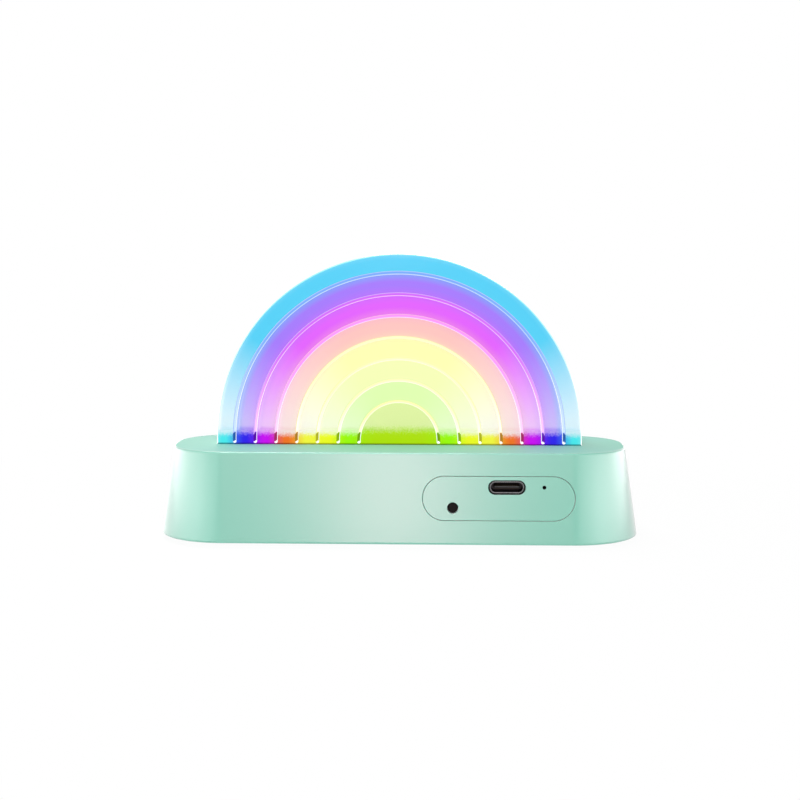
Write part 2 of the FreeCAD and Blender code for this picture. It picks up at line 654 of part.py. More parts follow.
def microphone():
    """The round sound pick-up on the board."""
    can = peg(MIC_RADIUS, MIC_X, MIC_Z, BOARD_FRONT - MIC_DEPTH, BOARD_FRONT)
    port = peg(MIC_HOLE_RADIUS, MIC_X, MIC_Z, BOARD_FRONT - MIC_DEPTH, BOARD_FRONT - MIC_DEPTH / 2)
    return can.cut(port)


def mic_boot():
    """The rubber boot that seals the sound pick-up to the panel."""
    front = BOARD_FRONT - MIC_DEPTH - MIC_BOOT_LIP
    inner = MIC_RADIUS + MIC_BOOT_FIT
    boot = peg(inner + MIC_BOOT_WALL, MIC_X, MIC_Z, front, BOARD_FRONT)
    boot = boot.cut(peg(inner, MIC_X, MIC_Z, front + MIC_BOOT_LIP, BOARD_FRONT))
    return boot.cut(peg(MIC_HOLE_RADIUS, MIC_X, MIC_Z, front, BOARD_FRONT))


def board_part(size, offset):
    """A moulded part on the back of the main board."""
    x, z = on_panel(offset)
    return centred_box(size, x, BOARD_BACK, z)


def board_capacitors():
    """A row of small parts on the back of the main board."""
    row = []
    for index in range(CAPACITOR_COUNT):
        offset = (CAPACITOR_OFFSET[0] + (index // 2) * CAPACITOR_PITCH,
                  CAPACITOR_OFFSET[1] - (index % 2) * CAPACITOR_PITCH)
        row.append(board_part(CAPACITOR_SIZE, offset))
    return Part.makeCompound(row)


def socket(x, wires):
    """An open plug socket on the back of the main board."""
    length = (wires + 1) * WIRE_PITCH + 2 * SOCKET_WALL
    block = centred_box((length, SOCKET_DEPTH, SOCKET_HEIGHT), x, BOARD_BACK, SOCKET_Z)
    size = (length - 2 * SOCKET_WALL, SOCKET_DEPTH, SOCKET_HEIGHT - 2 * SOCKET_WALL)
    return block.cut(centred_box(size, x, PLUG_MOUTH, SOCKET_Z))


def plug(x, wires):
    """The plug in a socket, square to the board."""
    fit = 2 * PLUG_FIT
    size = ((wires + 1) * WIRE_PITCH - fit, PLUG_DEPTH, SOCKET_HEIGHT - 2 * SOCKET_WALL - fit)
    return centred_box(size, x, PLUG_MOUTH, SOCKET_Z)


def wire_x(x, wires, index):
    """X of one wire of a plug that is centred on x."""
    return x + (index - (wires - 1) / 2) * WIRE_PITCH


def bent_wire(start, corner, end):
    """A round wire with one bend, as wide as its two runs allow."""
    first = (start - corner).Length
    second = (end - corner).Length
    radius = WIRE_BEND_SHARE * min(first, second)
    into = (start - corner).normalize()
    out = (end - corner).normalize()
    bend_start = corner + into * radius
    bend_end = corner + out * radius
    middle = corner + (into + out) * (radius * (1 - math.sqrt(0.5)))
    path = Part.Wire([
        Part.LineSegment(start, bend_start).toShape(),
        Part.Arc(bend_start, middle, bend_end).toShape(),
        Part.LineSegment(bend_end, end).toShape(),
    ])
    ring = Part.Wire(Part.makeCircle(WIRE_RADIUS, start, corner - start))
    return path.makePipeShell([ring], True, False)


def battery_lead(index):
    """One of the cell's two leads, from the cell's end to its plug."""
    x = wire_x(BATTERY_SOCKET_X, BATTERY_WIRES, index)
    y = index * WIRE_PITCH
    z = SOCKET_Z
    start = V(BATTERY_X + BATTERY_SIZE[0] / 2, y, z)
    return bent_wire(start, V(x, y, z), V(x, PLUG_MOUTH + PLUG_DEPTH, z))


def led_wires():
    """The wires from the main board up to the lamp board."""
    runs = []
    for index in range(LED_WIRES):
        x = wire_x(LED_SOCKET_X, LED_WIRES, index)
        start = V(x, PLUG_MOUTH + PLUG_DEPTH, SOCKET_Z)
        runs.append(bent_wire(start, V(x, 0, SOCKET_Z), V(x, 0, LED_BOARD_BOTTOM)))
    return Part.makeCompound(runs)


def battery():
    """The flat cell, stuck to the bottom cover."""
    length, width, height = BATTERY_SIZE
    cell = box(BATTERY_X - length / 2, BATTERY_X + length / 2, -width / 2, width / 2,
               BATTERY_BOTTOM, BATTERY_BOTTOM + height)
    long_edges = [edge for edge in cell.Edges if edge.BoundBox.XLength > length / 2]
    return cell.makeFillet(BATTERY_EDGE_RADIUS, long_edges)


def battery_tape():
    """The foam tape under the cell."""
    half_x = BATTERY_SIZE[0] / 2 - TAPE_MARGIN
    half_y = BATTERY_SIZE[1] / 2 - TAPE_MARGIN
    return box(BATTERY_X - half_x, BATTERY_X + half_x, -half_y, half_y, COVER_INSIDE, BATTERY_BOTTOM)


def all_parts():
    """Every piece of the lamp, by name."""
    form = outer_form()
    return {
        "base_housing": base_housing(form),
        "port_panel": port_panel(form),
        "bottom_cover": bottom_cover(),
        "cover_screws": cover_screws(),
        "foot_pads": foot_pads(),
        "rainbow_plate": rainbow_plate(),
        "light_frame": light_frame(),
        "led_board": led_board(),
        "leds": leds(),
        "frame_screws": frame_screws(),
        "main_board": main_board(),
        "board_screws": board_screws(),
        "usb_shell": usb_shell(),
        "usb_tongue": usb_tongue(),
        "usb_contacts": usb_contacts(),
        "switch_body": switch_body(),
        "switch_cover": switch_cover(),
        "switch_dome": switch_dome(),
        "push_button": push_button(),
        "microphone": microphone(),
        "mic_boot": mic_boot(),
        "controller_chip": board_part(CONTROLLER_SIZE, CONTROLLER_OFFSET),
        "charger_chip": board_part(CHARGER_SIZE, CHARGER_OFFSET),
        "board_capacitors": board_capacitors(),
        "battery_socket": socket(BATTERY_SOCKET_X, BATTERY_WIRES),
        "battery_plug": plug(BATTERY_SOCKET_X, BATTERY_WIRES),
        "battery_lead_red": battery_lead(0),
        "battery_lead_black": battery_lead(1),
        "led_socket": socket(LED_SOCKET_X, LED_WIRES),
        "led_plug": plug(LED_SOCKET_X, LED_WIRES),
        "led_wires": led_wires(),
        "battery": battery(),
        "battery_tape": battery_tape(),
    }


def main():
    """Build every piece and write it to its own file."""
    os.makedirs("parts", exist_ok=True)
    for name, shape in all_parts().items():
        solids = shape.Solids
        volume = sum(solid.Volume for solid in solids)
        sound = all(solid.isValid() for solid in solids)
        print(f"{name:20s} solids {len(solids):3d} volume {volume:10.2f} mm3 valid {sound}")
        shape.exportStep(f"parts/{name}.step")


if __name__ == "__main__":
    main()
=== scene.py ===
"""Looks of the rainbow night lamp: its mint shell, its slotted lit plate, its port panel and their finishes.

Laid out as an add-on and run as a script. Sizes are metres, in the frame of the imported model.
"""
import math

import bmesh
import bpy
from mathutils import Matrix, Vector


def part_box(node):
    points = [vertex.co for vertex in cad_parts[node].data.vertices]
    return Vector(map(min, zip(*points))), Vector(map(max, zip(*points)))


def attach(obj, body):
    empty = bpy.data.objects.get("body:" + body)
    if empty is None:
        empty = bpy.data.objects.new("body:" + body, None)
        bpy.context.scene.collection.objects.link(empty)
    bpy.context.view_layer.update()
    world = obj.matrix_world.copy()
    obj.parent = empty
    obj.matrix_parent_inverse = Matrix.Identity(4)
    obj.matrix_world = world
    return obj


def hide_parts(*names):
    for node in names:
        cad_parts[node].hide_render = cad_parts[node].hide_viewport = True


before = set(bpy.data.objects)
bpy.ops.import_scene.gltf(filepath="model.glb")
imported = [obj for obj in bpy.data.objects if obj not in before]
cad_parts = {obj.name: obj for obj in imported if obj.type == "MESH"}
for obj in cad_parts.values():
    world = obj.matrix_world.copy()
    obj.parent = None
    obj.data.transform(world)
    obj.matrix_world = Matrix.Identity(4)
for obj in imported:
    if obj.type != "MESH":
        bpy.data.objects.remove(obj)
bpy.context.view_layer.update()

bl_info = {
    "name": "Rainbow night lamp",
    "version": (1, 0, 0),
    "blender": (4, 5, 0),
    "location": "3D View > Sidebar > Lamp",
    "description": "Models and finishes a slotted, edge-lit night lamp around its construction",
    "category": "Object",
}

MM = 0.001

# Places read from the construction
HOUSING_LOW, HOUSING_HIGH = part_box("base_housing")
PLATE_LOW, PLATE_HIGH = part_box("rainbow_plate")
PANEL_LOW, PANEL_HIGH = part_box("port_panel")
COVER_LOW, COVER_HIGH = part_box("bottom_cover")
FEET_LOW, FEET_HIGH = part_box("foot_pads")
SCREWS_LOW, SCREWS_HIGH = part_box("cover_screws")
LUG_SCREWS_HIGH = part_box("frame_screws")[1]
FRAME_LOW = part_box("light_frame")[0]
PORT_LOW, PORT_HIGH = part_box("usb_shell")
CORE_LOW, CORE_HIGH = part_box("usb_tongue")
BUTTON_LOW, BUTTON_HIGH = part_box("push_button")
MIC_LOW, MIC_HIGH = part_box("microphone")
BOARD_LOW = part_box("main_board")[0]
BASE_BOTTOM = HOUSING_LOW.z
BASE_TOP = HOUSING_HIGH.z
PANEL_CENTRE = (PANEL_LOW + PANEL_HIGH) / 2
PORT_CENTRE = (PORT_LOW + PORT_HIGH) / 2
BUTTON_CENTRE = (BUTTON_LOW + BUTTON_HIGH) / 2
MIC_CENTRE = (MIC_LOW + MIC_HIGH) / 2
LUG_TOP = FRAME_LOW.z + 3 * MM
PILOT_SPARE = 0.5 * MM

# Sizes that the construction gives its screws, feet and posts
SCREW_HEAD, HEAD_HEIGHT, HEAD_ROUND = 1.9 * MM, 1.5 * MM, 0.65 * MM
SHANK_RADIUS, SHANK_POINT = 1.0 * MM, 0.5 * MM
RECESS_ARM, RECESS_HALF, RECESS_DEPTH = 1.14 * MM, 0.25 * MM, 0.7 * MM
FOOT_RADIUS, SOLE_ROUND, FOOT_EDGE = 4.5 * MM, 0.3 * MM, 0.08 * MM
LUG_X = (-34 * MM, 34 * MM, -20 * MM)
COVER_SKIN, PAD_RADIUS, COVER_HOLE = 2.2 * MM, 3.6 * MM, 1.2 * MM
SINK_RADIUS, SINK_DEPTH = 2.1 * MM, 1.6 * MM
SEAT_RADIUS, SEAT_DEPTH = 4.55 * MM, 0.4 * MM

# How finely round forms are cut
CORNER_STEPS = 28
ARCH_STEPS = 128
PEG_STEPS = 64
SMOOTH_ANGLE = math.radians(32)
SHARP_ANGLE = math.radians(45)
MERGE_DISTANCE = 0.0005 * MM
NEAR = 0.01 * MM
OVERCUT = 5 * MM
Y, Z = 1, 2


def linear(hex_colour):
    """An sRGB hex colour as linear red, green and blue."""
    channels = []
    for index in (1, 3, 5):
        value = int(hex_colour[index:index + 2], 16) / 255
        channels.append(value / 12.92 if value <= 0.04045 else ((value + 0.055) / 1.055) ** 2.4)
    return tuple(channels)


def length_prop(name, description, millimetres):
    """A length with its default in millimetres."""
    return bpy.props.FloatProperty(
        name=name, description=description, default=millimetres * MM, unit="LENGTH")


def angle_prop(name, description, degrees):
    """An angle with its default in degrees."""
    return bpy.props.FloatProperty(
        name=name, description=description, default=math.radians(degrees), subtype="ANGLE")


def share_prop(name, description):
    """A share, from none to all."""
    return bpy.props.FloatProperty(name=name, description=description, subtype="FACTOR", min=0, max=1)


def light_prop(name, description, default):
    """An amount of light."""
    return bpy.props.FloatProperty(name=name, description=description, default=default, min=0)


def colour_prop(name, description, hex_colour):
    """A colour with its default as sRGB hex."""
    return bpy.props.FloatVectorProperty(
        name=name, description=description, subtype="COLOR", size=3, min=0, max=1, default=linear(hex_colour))


class LampShape(bpy.types.PropertyGroup):
    """Sizes of the lamp that a maker would change."""
    top_length: length_prop("Top length", "Length of the base's top", 121)
    top_depth: length_prop("Top depth", "Depth of the base's top", 36)
    corner_radius: length_prop("Corner radius", "Radius of the top's corners", 15)
    draft: angle_prop("Draft", "Lean of the base's sides", 8.4)
    bottom_round: length_prop("Bottom rounding", "Radius under the sides", 0.5)
    top_round: length_prop("Top rounding", "Radius of the top's edge", 0.5)
    wall: length_prop("Wall", "Least wall of the shell", 2.2)
    ceiling: length_prop("Ceiling", "Thickness of the shell's top", 2.4)
    post_radius: length_prop("Post radius", "Radius of the cover's screw posts", 2.75)
    lug_radius: length_prop("Lug radius", "Radius of the light frame's screw posts", 2.6)
    pilot_radius: length_prop("Pilot radius", "Radius of the posts' screw holes", 1.03)
    arch_rise: length_prop("Arch rise", "Height of the plate's centre over the base", 2)
    slot_rise: length_prop("Slot rise", "Height of the first slot's centre over the base", 1.87)
    slot_rise_step: length_prop("Slot rise step", "How much lower each next slot's centre is", 0.13)
    slot_count: bpy.props.IntProperty(
        name="Slots", description="How many slots divide the plate", default=7, min=1)
    slot_width: length_prop("Slot width", "Width of each slot", 0.55)
    slot_web: length_prop("Slot web", "Acrylic left between the slots of both faces", 0.6)
    slot_foot: length_prop("Slot foot", "Height of the slots' ends over the base", 0.5)
    outer_band: length_prop("Outer band", "From the rim to the first slot", 4.8)
    band_pitch: length_prop("Band pitch", "From slot to slot", 5.6)
    ear_height: length_prop("Ear height", "Height of the plate's foot in the base", 3)
    plate_gap: length_prop("Plate gap", "Play round the plate in the base", 0.15)
    plate_edge: length_prop("Plate edge", "Flame-polished edge of the plate", 0.3)
    slot_edge: length_prop("Slot edge", "Broken edge of the slots", 0.2)
    panel_length: length_prop("Panel length", "Length of the panel's opening", 39.6)
    panel_height: length_prop("Panel height", "Height of the panel's opening", 11.5)
    panel_seam: length_prop("Panel seam", "Gap round the panel", 0.15)
    panel_ledge: length_prop("Panel ledge", "Width of the panel's seat", 0.6)
    ledge_wall: length_prop("Ledge wall", "Wall behind the panel's seat", 1.4)
    panel_edge: length_prop("Panel edge", "Rounding along the seam", 0.06)
    port_wall: length_prop("Port wall", "Sheet of the port's shell", 0.3)
    port_gap_x: length_prop("Port gap, sides", "Gap beside the port", 0.38)
    port_gap_z: length_prop("Port gap, above", "Gap over the port", 0.25)
    tongue_length: length_prop("Tongue length", "Width of the port's tongue", 6.7)
    tongue_thickness: length_prop("Tongue thickness", "Thickness of the tongue", 0.7)
    tongue_root: length_prop("Tongue root", "Depth of the core behind it", 2.2)
    button_radius: length_prop("Button radius", "Radius of the button's stem", 1.27)
    button_gap: length_prop("Button gap", "Gap round the button", 0.18)
    button_round: length_prop("Button rounding", "Radius of the button's rim", 0.3)
    flange_thickness: length_prop("Flange thickness", "Button's flange in the switch", 0.8)
    sound_radius: length_prop("Sound hole radius", "Radius of the sound hole", 0.5)


class LampBand(bpy.types.PropertyGroup):
    """The light in one band of the plate."""
    light: colour_prop("Light", "Colour of the lamps under the band", "#FFFFFF")
    leak: bpy.props.FloatProperty(
        name="Leak", description="Light from the band inside, or below zero from outside", min=-1, max=1)
    crown_haze: share_prop("Crown haze", "How pale the band is at its crown")
    side_haze: share_prop("Side haze", "How pale the band is along its sides")
    haze_top: share_prop("Haze top", "Climb at which the sides' haze has gone")
    outer_bleed: share_prop("Outer bleed", "Tint from outside along the outer edge")
    inner_bleed: share_prop("Inner bleed", "Tint from inside along the inner edge")
    reach: length_prop("Reach", "Height to which the lamps' full colour reaches", 3)


class LampFinish(bpy.types.PropertyGroup):
    """Colours and light of the lamp."""
    mint: colour_prop("Mint", "Colour of the moulded base", "#6FBFA8")
    button: colour_prop("Button", "Colour of the button", "#120E0D")
    glow: light_prop("Glow", "Light that the plate gives", 0.53)
    slot_glow: light_prop("Slot glow", "Light that the frosted slots give", 0.95)
    # Part of the polished edges' light is a painted highlight
    rim_glow_and_highlight: light_prop("Rim glow", "Light that the polished edges give", 0.7)
    tint: light_prop("Tint", "How much of the plate's colour shows under outside light", 0.5)
    bands: bpy.props.CollectionProperty(type=LampBand, name="Bands", description="From rim to middle")


class LampStage(bpy.types.PropertyGroup):
    """Camera and light of the picture."""
    azimuth: angle_prop("Azimuth", "Camera's turn to the right", 2.035)
    elevation: angle_prop("Elevation", "Camera's height", 6.148)
    distance: length_prop("Distance", "From the camera to its aim", 413.2)
    aim: bpy.props.FloatVectorProperty(
        name="Aim", description="Where the camera looks", default=(0.26 * MM, 0, 36.79 * MM), unit="LENGTH")
    lens: bpy.props.FloatProperty(
        name="Lens", description="Focal length in millimetres", default=68.83)
    ambient: light_prop("Ambient", "Light from all round", 0.2)


# Each band from rim to middle: light, leak, haze at crown and sides, climb where the sides' haze ends,
# bleed at both edges, reach in millimetres
BANDS = (
    ("#4FEEF4", 0.165, 0.05, 0.76, 0.58, 0.2, 0.0, 2.7),
    ("#3325F2", 0.32, 0.40, 0.62, 0.62, 0.5, 0.3, 3.2),
    ("#D209F8", 0.0, 0.34, 0.71, 0.7, 0.3, 0.3, 3.2),
    ("#FB7725", -0.2, 0.63, 0.83, 0.9, 0.1, 0.2, 2.6),
    ("#FDFB42", 0.0, 0.60, 0.93, 0.85, 0.1, 0.0, 2.9),
    ("#F6FF22", 0.25, 0.685, 0.87, 0.85, 0.0, 0.0, 3.0),
    ("#A1FD03", 0.0, 0.69, 0.80, 0.9, 0.0, 0.0, 3.2),
    ("#B6E502", 0.0, 0.64, 0.64, 0.7, 0.0, 0.0, 4.2),
)


def deselect_all():
    """Leave edit mode and select nothing."""
    if bpy.context.mode != "OBJECT":
        bpy.ops.object.mode_set(mode="OBJECT")
    bpy.ops.object.select_all(action="DESELECT")


def hold(piece):
    """Make a piece the only selected one, and active."""
    deselect_all()
    piece.select_set(True)
    bpy.context.view_layer.objects.active = piece


def edit(piece):
    """Hold a piece and select all of it in edit mode."""
    hold(piece)
    bpy.ops.object.mode_set(mode="EDIT")
    bpy.ops.mesh.select_all(action="SELECT")


def close_edit():
    """Point all faces outwards and leave edit mode."""
    bpy.ops.mesh.select_all(action="SELECT")
    bpy.ops.mesh.normals_make_consistent(inside=False)
    bpy.ops.object.mode_set(mode="OBJECT")


def settle(name, scale=(1, 1, 1)):
    """Name the newest object, scale it, and put its place, turn and scale into its mesh."""
    piece = bpy.context.active_object
    piece.scale = scale
    piece.name = name
    piece.data.name = name
    bpy.ops.object.transform_apply(location=True, rotation=True, scale=True)
    return piece


def pick(piece, kind, test):
    """In edit mode, select only the faces, edges or vertices that pass a test."""
    bpy.ops.mesh.select_mode(type=kind)
    bpy.ops.mesh.select_all(action="DESELECT")
    cage = bmesh.from_edit_mesh(piece.data)
    for part in {"VERT": cage.verts, "EDGE": cage.edges, "FACE": cage.faces}[kind]:
        if test(part):
            part.select_set(True)
    bmesh.update_edit_mesh(piece.data)


def lies_at(axis, value):
    """A test for edges and faces whose corners all lie at one place along an axis."""
    return lambda part: all(abs(corner.co[axis] - value) < NEAR for corner in part.verts)


def shape_edges(piece, test, width, segments):
    """Round the edges that pass a test."""
    edit(piece)
    pick(piece, "EDGE", test)
    bpy.ops.mesh.bevel(offset_type="OFFSET", offset=width, segments=segments, profile=0.5, affect="EDGES",
                       clamp_overlap=False)
    bpy.ops.object.mode_set(mode="OBJECT")


def block(name, low, high):
    """A block between two corners."""
    low, high = Vector(low), Vector(high)
    deselect_all()
    bpy.ops.mesh.primitive_cube_add(size=1, location=(low + high) / 2)
    return settle(name, high - low)


def post(name, radius, x, y, z0, z1):
    """A round post along Z."""
    deselect_all()
    bpy.ops.mesh.primitive_cylinder_add(vertices=PEG_STEPS, radius=radius, depth=z1 - z0,
                                        location=(x, y, (z0 + z1) / 2))
    return settle(name)


def peg(name, radius, x, z, y0, y1):
    """A round peg along Y."""
    deselect_all()
    bpy.ops.mesh.primitive_cylinder_add(vertices=PEG_STEPS, radius=radius, depth=y1 - y0,
                                        location=(x, (y0 + y1) / 2, z), rotation=(math.pi / 2, 0, 0))
    return settle(name)


def rounded_slab(name, place, length, depth, radius, along, turn=(0, 0, 0)):
    """A sheet with round corners, pushed along a direction into a slab."""
    deselect_all()
    bpy.ops.mesh.primitive_plane_add(size=1, location=place, rotation=turn)
    slab = settle(name, (length, depth, 1))
    edit(slab)
    bpy.ops.mesh.select_mode(type="VERT")
    bpy.ops.mesh.bevel(offset_type="OFFSET", offset=min(radius, depth / 2 - NEAR), segments=CORNER_STEPS,
                       profile=0.5, affect="VERTICES", clamp_overlap=False)
    bpy.ops.mesh.select_all(action="SELECT")
    if along is None:
        bpy.ops.object.mode_set(mode="OBJECT")
        return slab
    bpy.ops.mesh.extrude_region_move(TRANSFORM_OT_translate={"value": along})
    close_edit()
    return slab


def oval_bar(name, length, height, x, z, y0, y1):
    """A bar along Y whose section is a slot with full round ends."""
    return rounded_slab(name, (x, y0, z), length, height, height / 2, (0, y1 - y0, 0), (math.pi / 2, 0, 0))


def combine(piece, tools, operation):
    """Join tools to a piece, or cut them from it, one after another."""
    for tool in tools:
        hold(piece)
        bpy.ops.object.modifier_add(type="BOOLEAN")
        step = piece.modifiers[-1]
        step.object = tool
        step.operation = operation
        step.solver = "EXACT"
        bpy.ops.object.modifier_apply(modifier=step.name)
        bpy.data.objects.remove(tool)
    return piece


def tidy_mesh(piece):
    """Merge doubled corners, point the faces outwards and smooth what is round."""
    edit(piece)
    bpy.ops.mesh.remove_doubles(threshold=MERGE_DISTANCE)
    close_edit()
    bpy.ops.object.shade_smooth_by_angle(angle=SMOOTH_ANGLE)
    bpy.ops.object.modifier_add(type="WEIGHTED_NORMAL")
    step = piece.modifiers[-1]
    step.keep_sharp = True
    bpy.ops.object.modifier_apply(modifier=step.name)
    return piece


def wear(piece, *materials):
    """Give a piece its materials, in order."""
    piece.data.materials.clear()
    for material in materials:
        piece.data.materials.append(material)


def dress(piece, body, node, slot, *materials):
    """Give a piece its materials, fasten it to its body and let it stand for its node."""
    wear(piece, *materials)
    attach(piece, body)
    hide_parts(node)
    return piece


def add_node(tree, kind, inputs=None, **settings):
    """Add a shader node with its settings and inputs, where a node stands for its first live output."""
    made = tree.nodes.new("ShaderNode" + kind)
    for name, value in settings.items():
        setattr(made, name, value)
    for name, value in (inputs or {}).items():
        if isinstance(value, bpy.types.Node):
            value = next(output for output in value.outputs if output.enabled)
        if isinstance(value, bpy.types.NodeSocket):
            tree.links.new(value, made.inputs[name])
        else:
            made.inputs[name].default_value = value
    return made


def new_material(name):
    """An empty node material and its tree."""
    material = bpy.data.materials.new(name)
    material.use_nodes = True
    material.node_tree.nodes.clear()
    return material, material.node_tree


def opaque(colour):
    """A colour with full cover."""
    return (*colour, 1.0)


WHITE = (1.0, 1.0, 1.0)
BLACK = (0.0, 0.0, 0.0)
EVEN = (1, 1, 1)
# Power by which the eye reads light as lightness
EYE = 2.2


def blend(colour, other, share):
    """Two linear colours mixed as the eye reads them, in even steps of lightness."""
    pairs = zip(colour, other)
    return tuple((a ** (1 / EYE) * (1 - share) + b ** (1 / EYE) * share) ** EYE for a, b in pairs)


def grained(name, tones, gloss, grain, depth, stretch=EVEN, **values):
    """A material of two close tones whose grain, in millimetres, also moves its gloss and relief.

    tones and gloss are (low, high) pairs, and depth is the grain's relief in millimetres.
    """
    material, tree = new_material(name)
    place = add_node(tree, "TexCoord")
    laid = add_node(tree, "Mapping", {"Vector": place.outputs["Object"], "Scale": stretch})
    noise = add_node(tree, "TexNoise", {
        "Vector": laid, "Scale": 1 / (grain * MM), "Detail": 3.0, "Roughness": 0.55})
    tone = add_node(tree, "Mix", {0: noise, 6: opaque(tones[0]), 7: opaque(tones[1])}, data_type="RGBA")
    shine = add_node(tree, "MapRange", {
        "Value": noise, "From Min": 0.3, "From Max": 0.7, "To Min": gloss[0], "To Max": gloss[1]})
    relief = add_node(tree, "Bump", {"Height": noise, "Strength": 0.6, "Distance": depth * MM})
    shader = add_node(tree, "BsdfPrincipled", {
        "Base Color": tone, "Roughness": shine, "Normal": relief, **values})
    add_node(tree, "OutputMaterial", {"Surface": shader})
    return material


def satin_mint_abs(finish):
    """Moulded ABS from a fine spark-eroded tool: a soft, broad sheen with hardly any grain.

    The tool's grain is about 0.1 mm, drawn at 0.5 mm so that it shows at all.
    """
    mint = tuple(finish.mint)
    return grained("satin_mint_abs", (blend(mint, BLACK, 0.006), blend(mint, WHITE, 0.01)),
                   (0.2, 0.23), 0.5, 0.001, **{
                       "IOR": 1.54, "Specular IOR Level": 0.75, "Sheen Weight": 1.0, "Sheen Roughness": 0.56})


def matt_mint_abs(finish):
    """The same ABS on the top, from a coarser, blasted part of the tool: no gloss, grain about 0.4 mm."""
    mint = tuple(finish.mint)
    return grained("matt_mint_abs", (blend(mint, BLACK, 0.02), blend(mint, WHITE, 0.02)),
                   (0.5, 0.58), 0.4, 0.006, **{
                       "IOR": 1.54, "Specular IOR Level": 0.12, "Sheen Weight": 0.4, "Sheen Roughness": 0.5})


def slots(shape):
    """Radius of each slot and the height of its centre over the base, from the outside in."""
    first = PLATE_HIGH.z - BASE_TOP - shape.arch_rise - shape.outer_band
    return [(first - index * shape.band_pitch, shape.slot_rise - index * shape.slot_rise_step)
            for index in range(shape.slot_count)]


def arch_places(tree, shape):
    """Nodes that place a point on the plate, in millimetres: band radius, height over the base, and climb.

    The slots' centres sink with their radius. So each radius is taken about the centre that a slot of no
    radius would have, less what its own centre stands higher.
    """
    first_radius, first_rise = slots(shape)[0]
    slant = shape.slot_rise_step / shape.band_pitch
    low_rise = first_rise - first_radius * slant
    place = add_node(tree, "TexCoord")
    flat = add_node(tree, "Mapping", {
        "Vector": place.outputs["Object"], "Location": (0, 0, -(BASE_TOP + low_rise) / MM),
        "Scale": (1 / MM, 0, 1 / MM)})
    above = add_node(tree, "VectorMath", {0: flat, 1: (-1000, 0, 0)}, operation="MAXIMUM")
    out = add_node(tree, "VectorMath", {0: above}, operation="LENGTH")
    up = add_node(tree, "SeparateXYZ", {"Vector": above})
    radius = add_node(tree, "Math", {0: up.outputs["Z"], 1: -slant, 2: out}, operation="MULTIPLY_ADD")
    climb = add_node(tree, "Math", {0: up.outputs["Z"], 1: out}, operation="DIVIDE", use_clamp=True)
    split = add_node(tree, "SeparateXYZ", {"Vector": flat})
    height = add_node(tree, "Math", {0: split.outputs["Z"], 1: low_rise / MM}, operation="ADD")
    return place, radius, height, climb


# Reach of the colour ramps across the bands in millimetres, and half the step between two bands
RAMP_REACH = 50.0
BAND_STEP = 0.12
# Share of a band's width over which its neighbours tint it, and how much they do by the lamps
BLEED_WIDTH = 0.4
FOOT_BLEED = 0.3
# Height in millimetres for which a ramp's value of one stands
REACH_UNIT = 10.0
# Grain of the scattered light, of the milled slots and of the polished edges, in millimetres
SPECKLE_SIZE, STREAK_SIZE, RIPPLE_SIZE = 0.4, 0.3, 1.5
# How ragged the scattered light makes the top of the lamps' full colour, and at which shares of its reach
# that colour starts to fade and has gone
SPECKLE_SHARE = 0.6
FOOT_FULL, FOOT_GONE = 0.95, 1.65


def band_ramp(tree, shape, radius, colours, bleeds=None, tints=None, shift=0.0):
    """A ramp over the radius with one colour to a band, tinted along its edges by its neighbours.

    shift moves the bands inwards by a share of their pitch.
    """
    tints = tints or colours
    inwards = shift * shape.band_pitch
    edges = [RAMP_REACH] + [(value - inwards) / MM for value, rise in slots(shape)] + [0.0]
    outside = [WHITE, *tints[:-1]]
    inside = [*tints[1:], tints[-1]]
    stops = []
    for index, colour in enumerate(colours):
        outer, inner = edges[index] - BAND_STEP, edges[index + 1] + BAND_STEP
        if bleeds is None:
            stops += [(outer, colour), (inner, colour)]
            continue
        width = (outer - inner) * BLEED_WIDTH
        stops += [(outer, blend(colour, outside[index], bleeds[index][0])), (outer - width, colour),
                  (inner + width, colour), (inner, blend(colour, inside[index], bleeds[index][1]))]
    stops.sort()
    share = add_node(tree, "Math", {0: radius, 1: RAMP_REACH}, operation="DIVIDE", use_clamp=True)
    ramp = add_node(tree, "ValToRGB", {"Fac": share})
    elements = ramp.color_ramp.elements
    while len(elements) < len(stops):
        elements.new(1.0)
    for element, (place, colour) in zip(elements, stops):
        element.position = max(place, 0.0) / RAMP_REACH
        element.color = opaque(colour)
    return ramp


def mixed_lights(finish):
    """The light of every band, with what leaks in from the band inside or outside it."""
    lights = [tuple(band.light) for band in finish.bands]
    mixed = []
    for index, band in enumerate(finish.bands):
        source = min(index + 1, len(lights) - 1) if band.leak > 0 else max(index - 1, 0)
        mixed.append(blend(lights[index], lights[source], abs(band.leak)))
    return mixed


def crown_colours(finish):
    """The colour of every band at its crown."""
    return [blend(light, WHITE, band.crown_haze) for light, band in zip(mixed_lights(finish), finish.bands)]


def beside_slots(colours):
    """The mean colour of the two bands beside each slot."""
    return [blend(colour, inner, 0.5) for colour, inner in zip(colours, [*colours[1:], colours[-1]])]


def glowing(tree, colour, finish, **values):
    """The shader of lit acrylic: part of its colour shows under outside light, part is its own light."""
    tint = add_node(tree, "VectorMath", {0: colour, "Scale": finish.tint}, operation="SCALE")
    shader = add_node(tree, "BsdfPrincipled", {
        "Base Color": tint, "IOR": 1.49, "Specular IOR Level": 0.12,
        "Emission Color": colour, "Emission Strength": finish.glow, **values})
    add_node(tree, "OutputMaterial", {"Surface": shader})


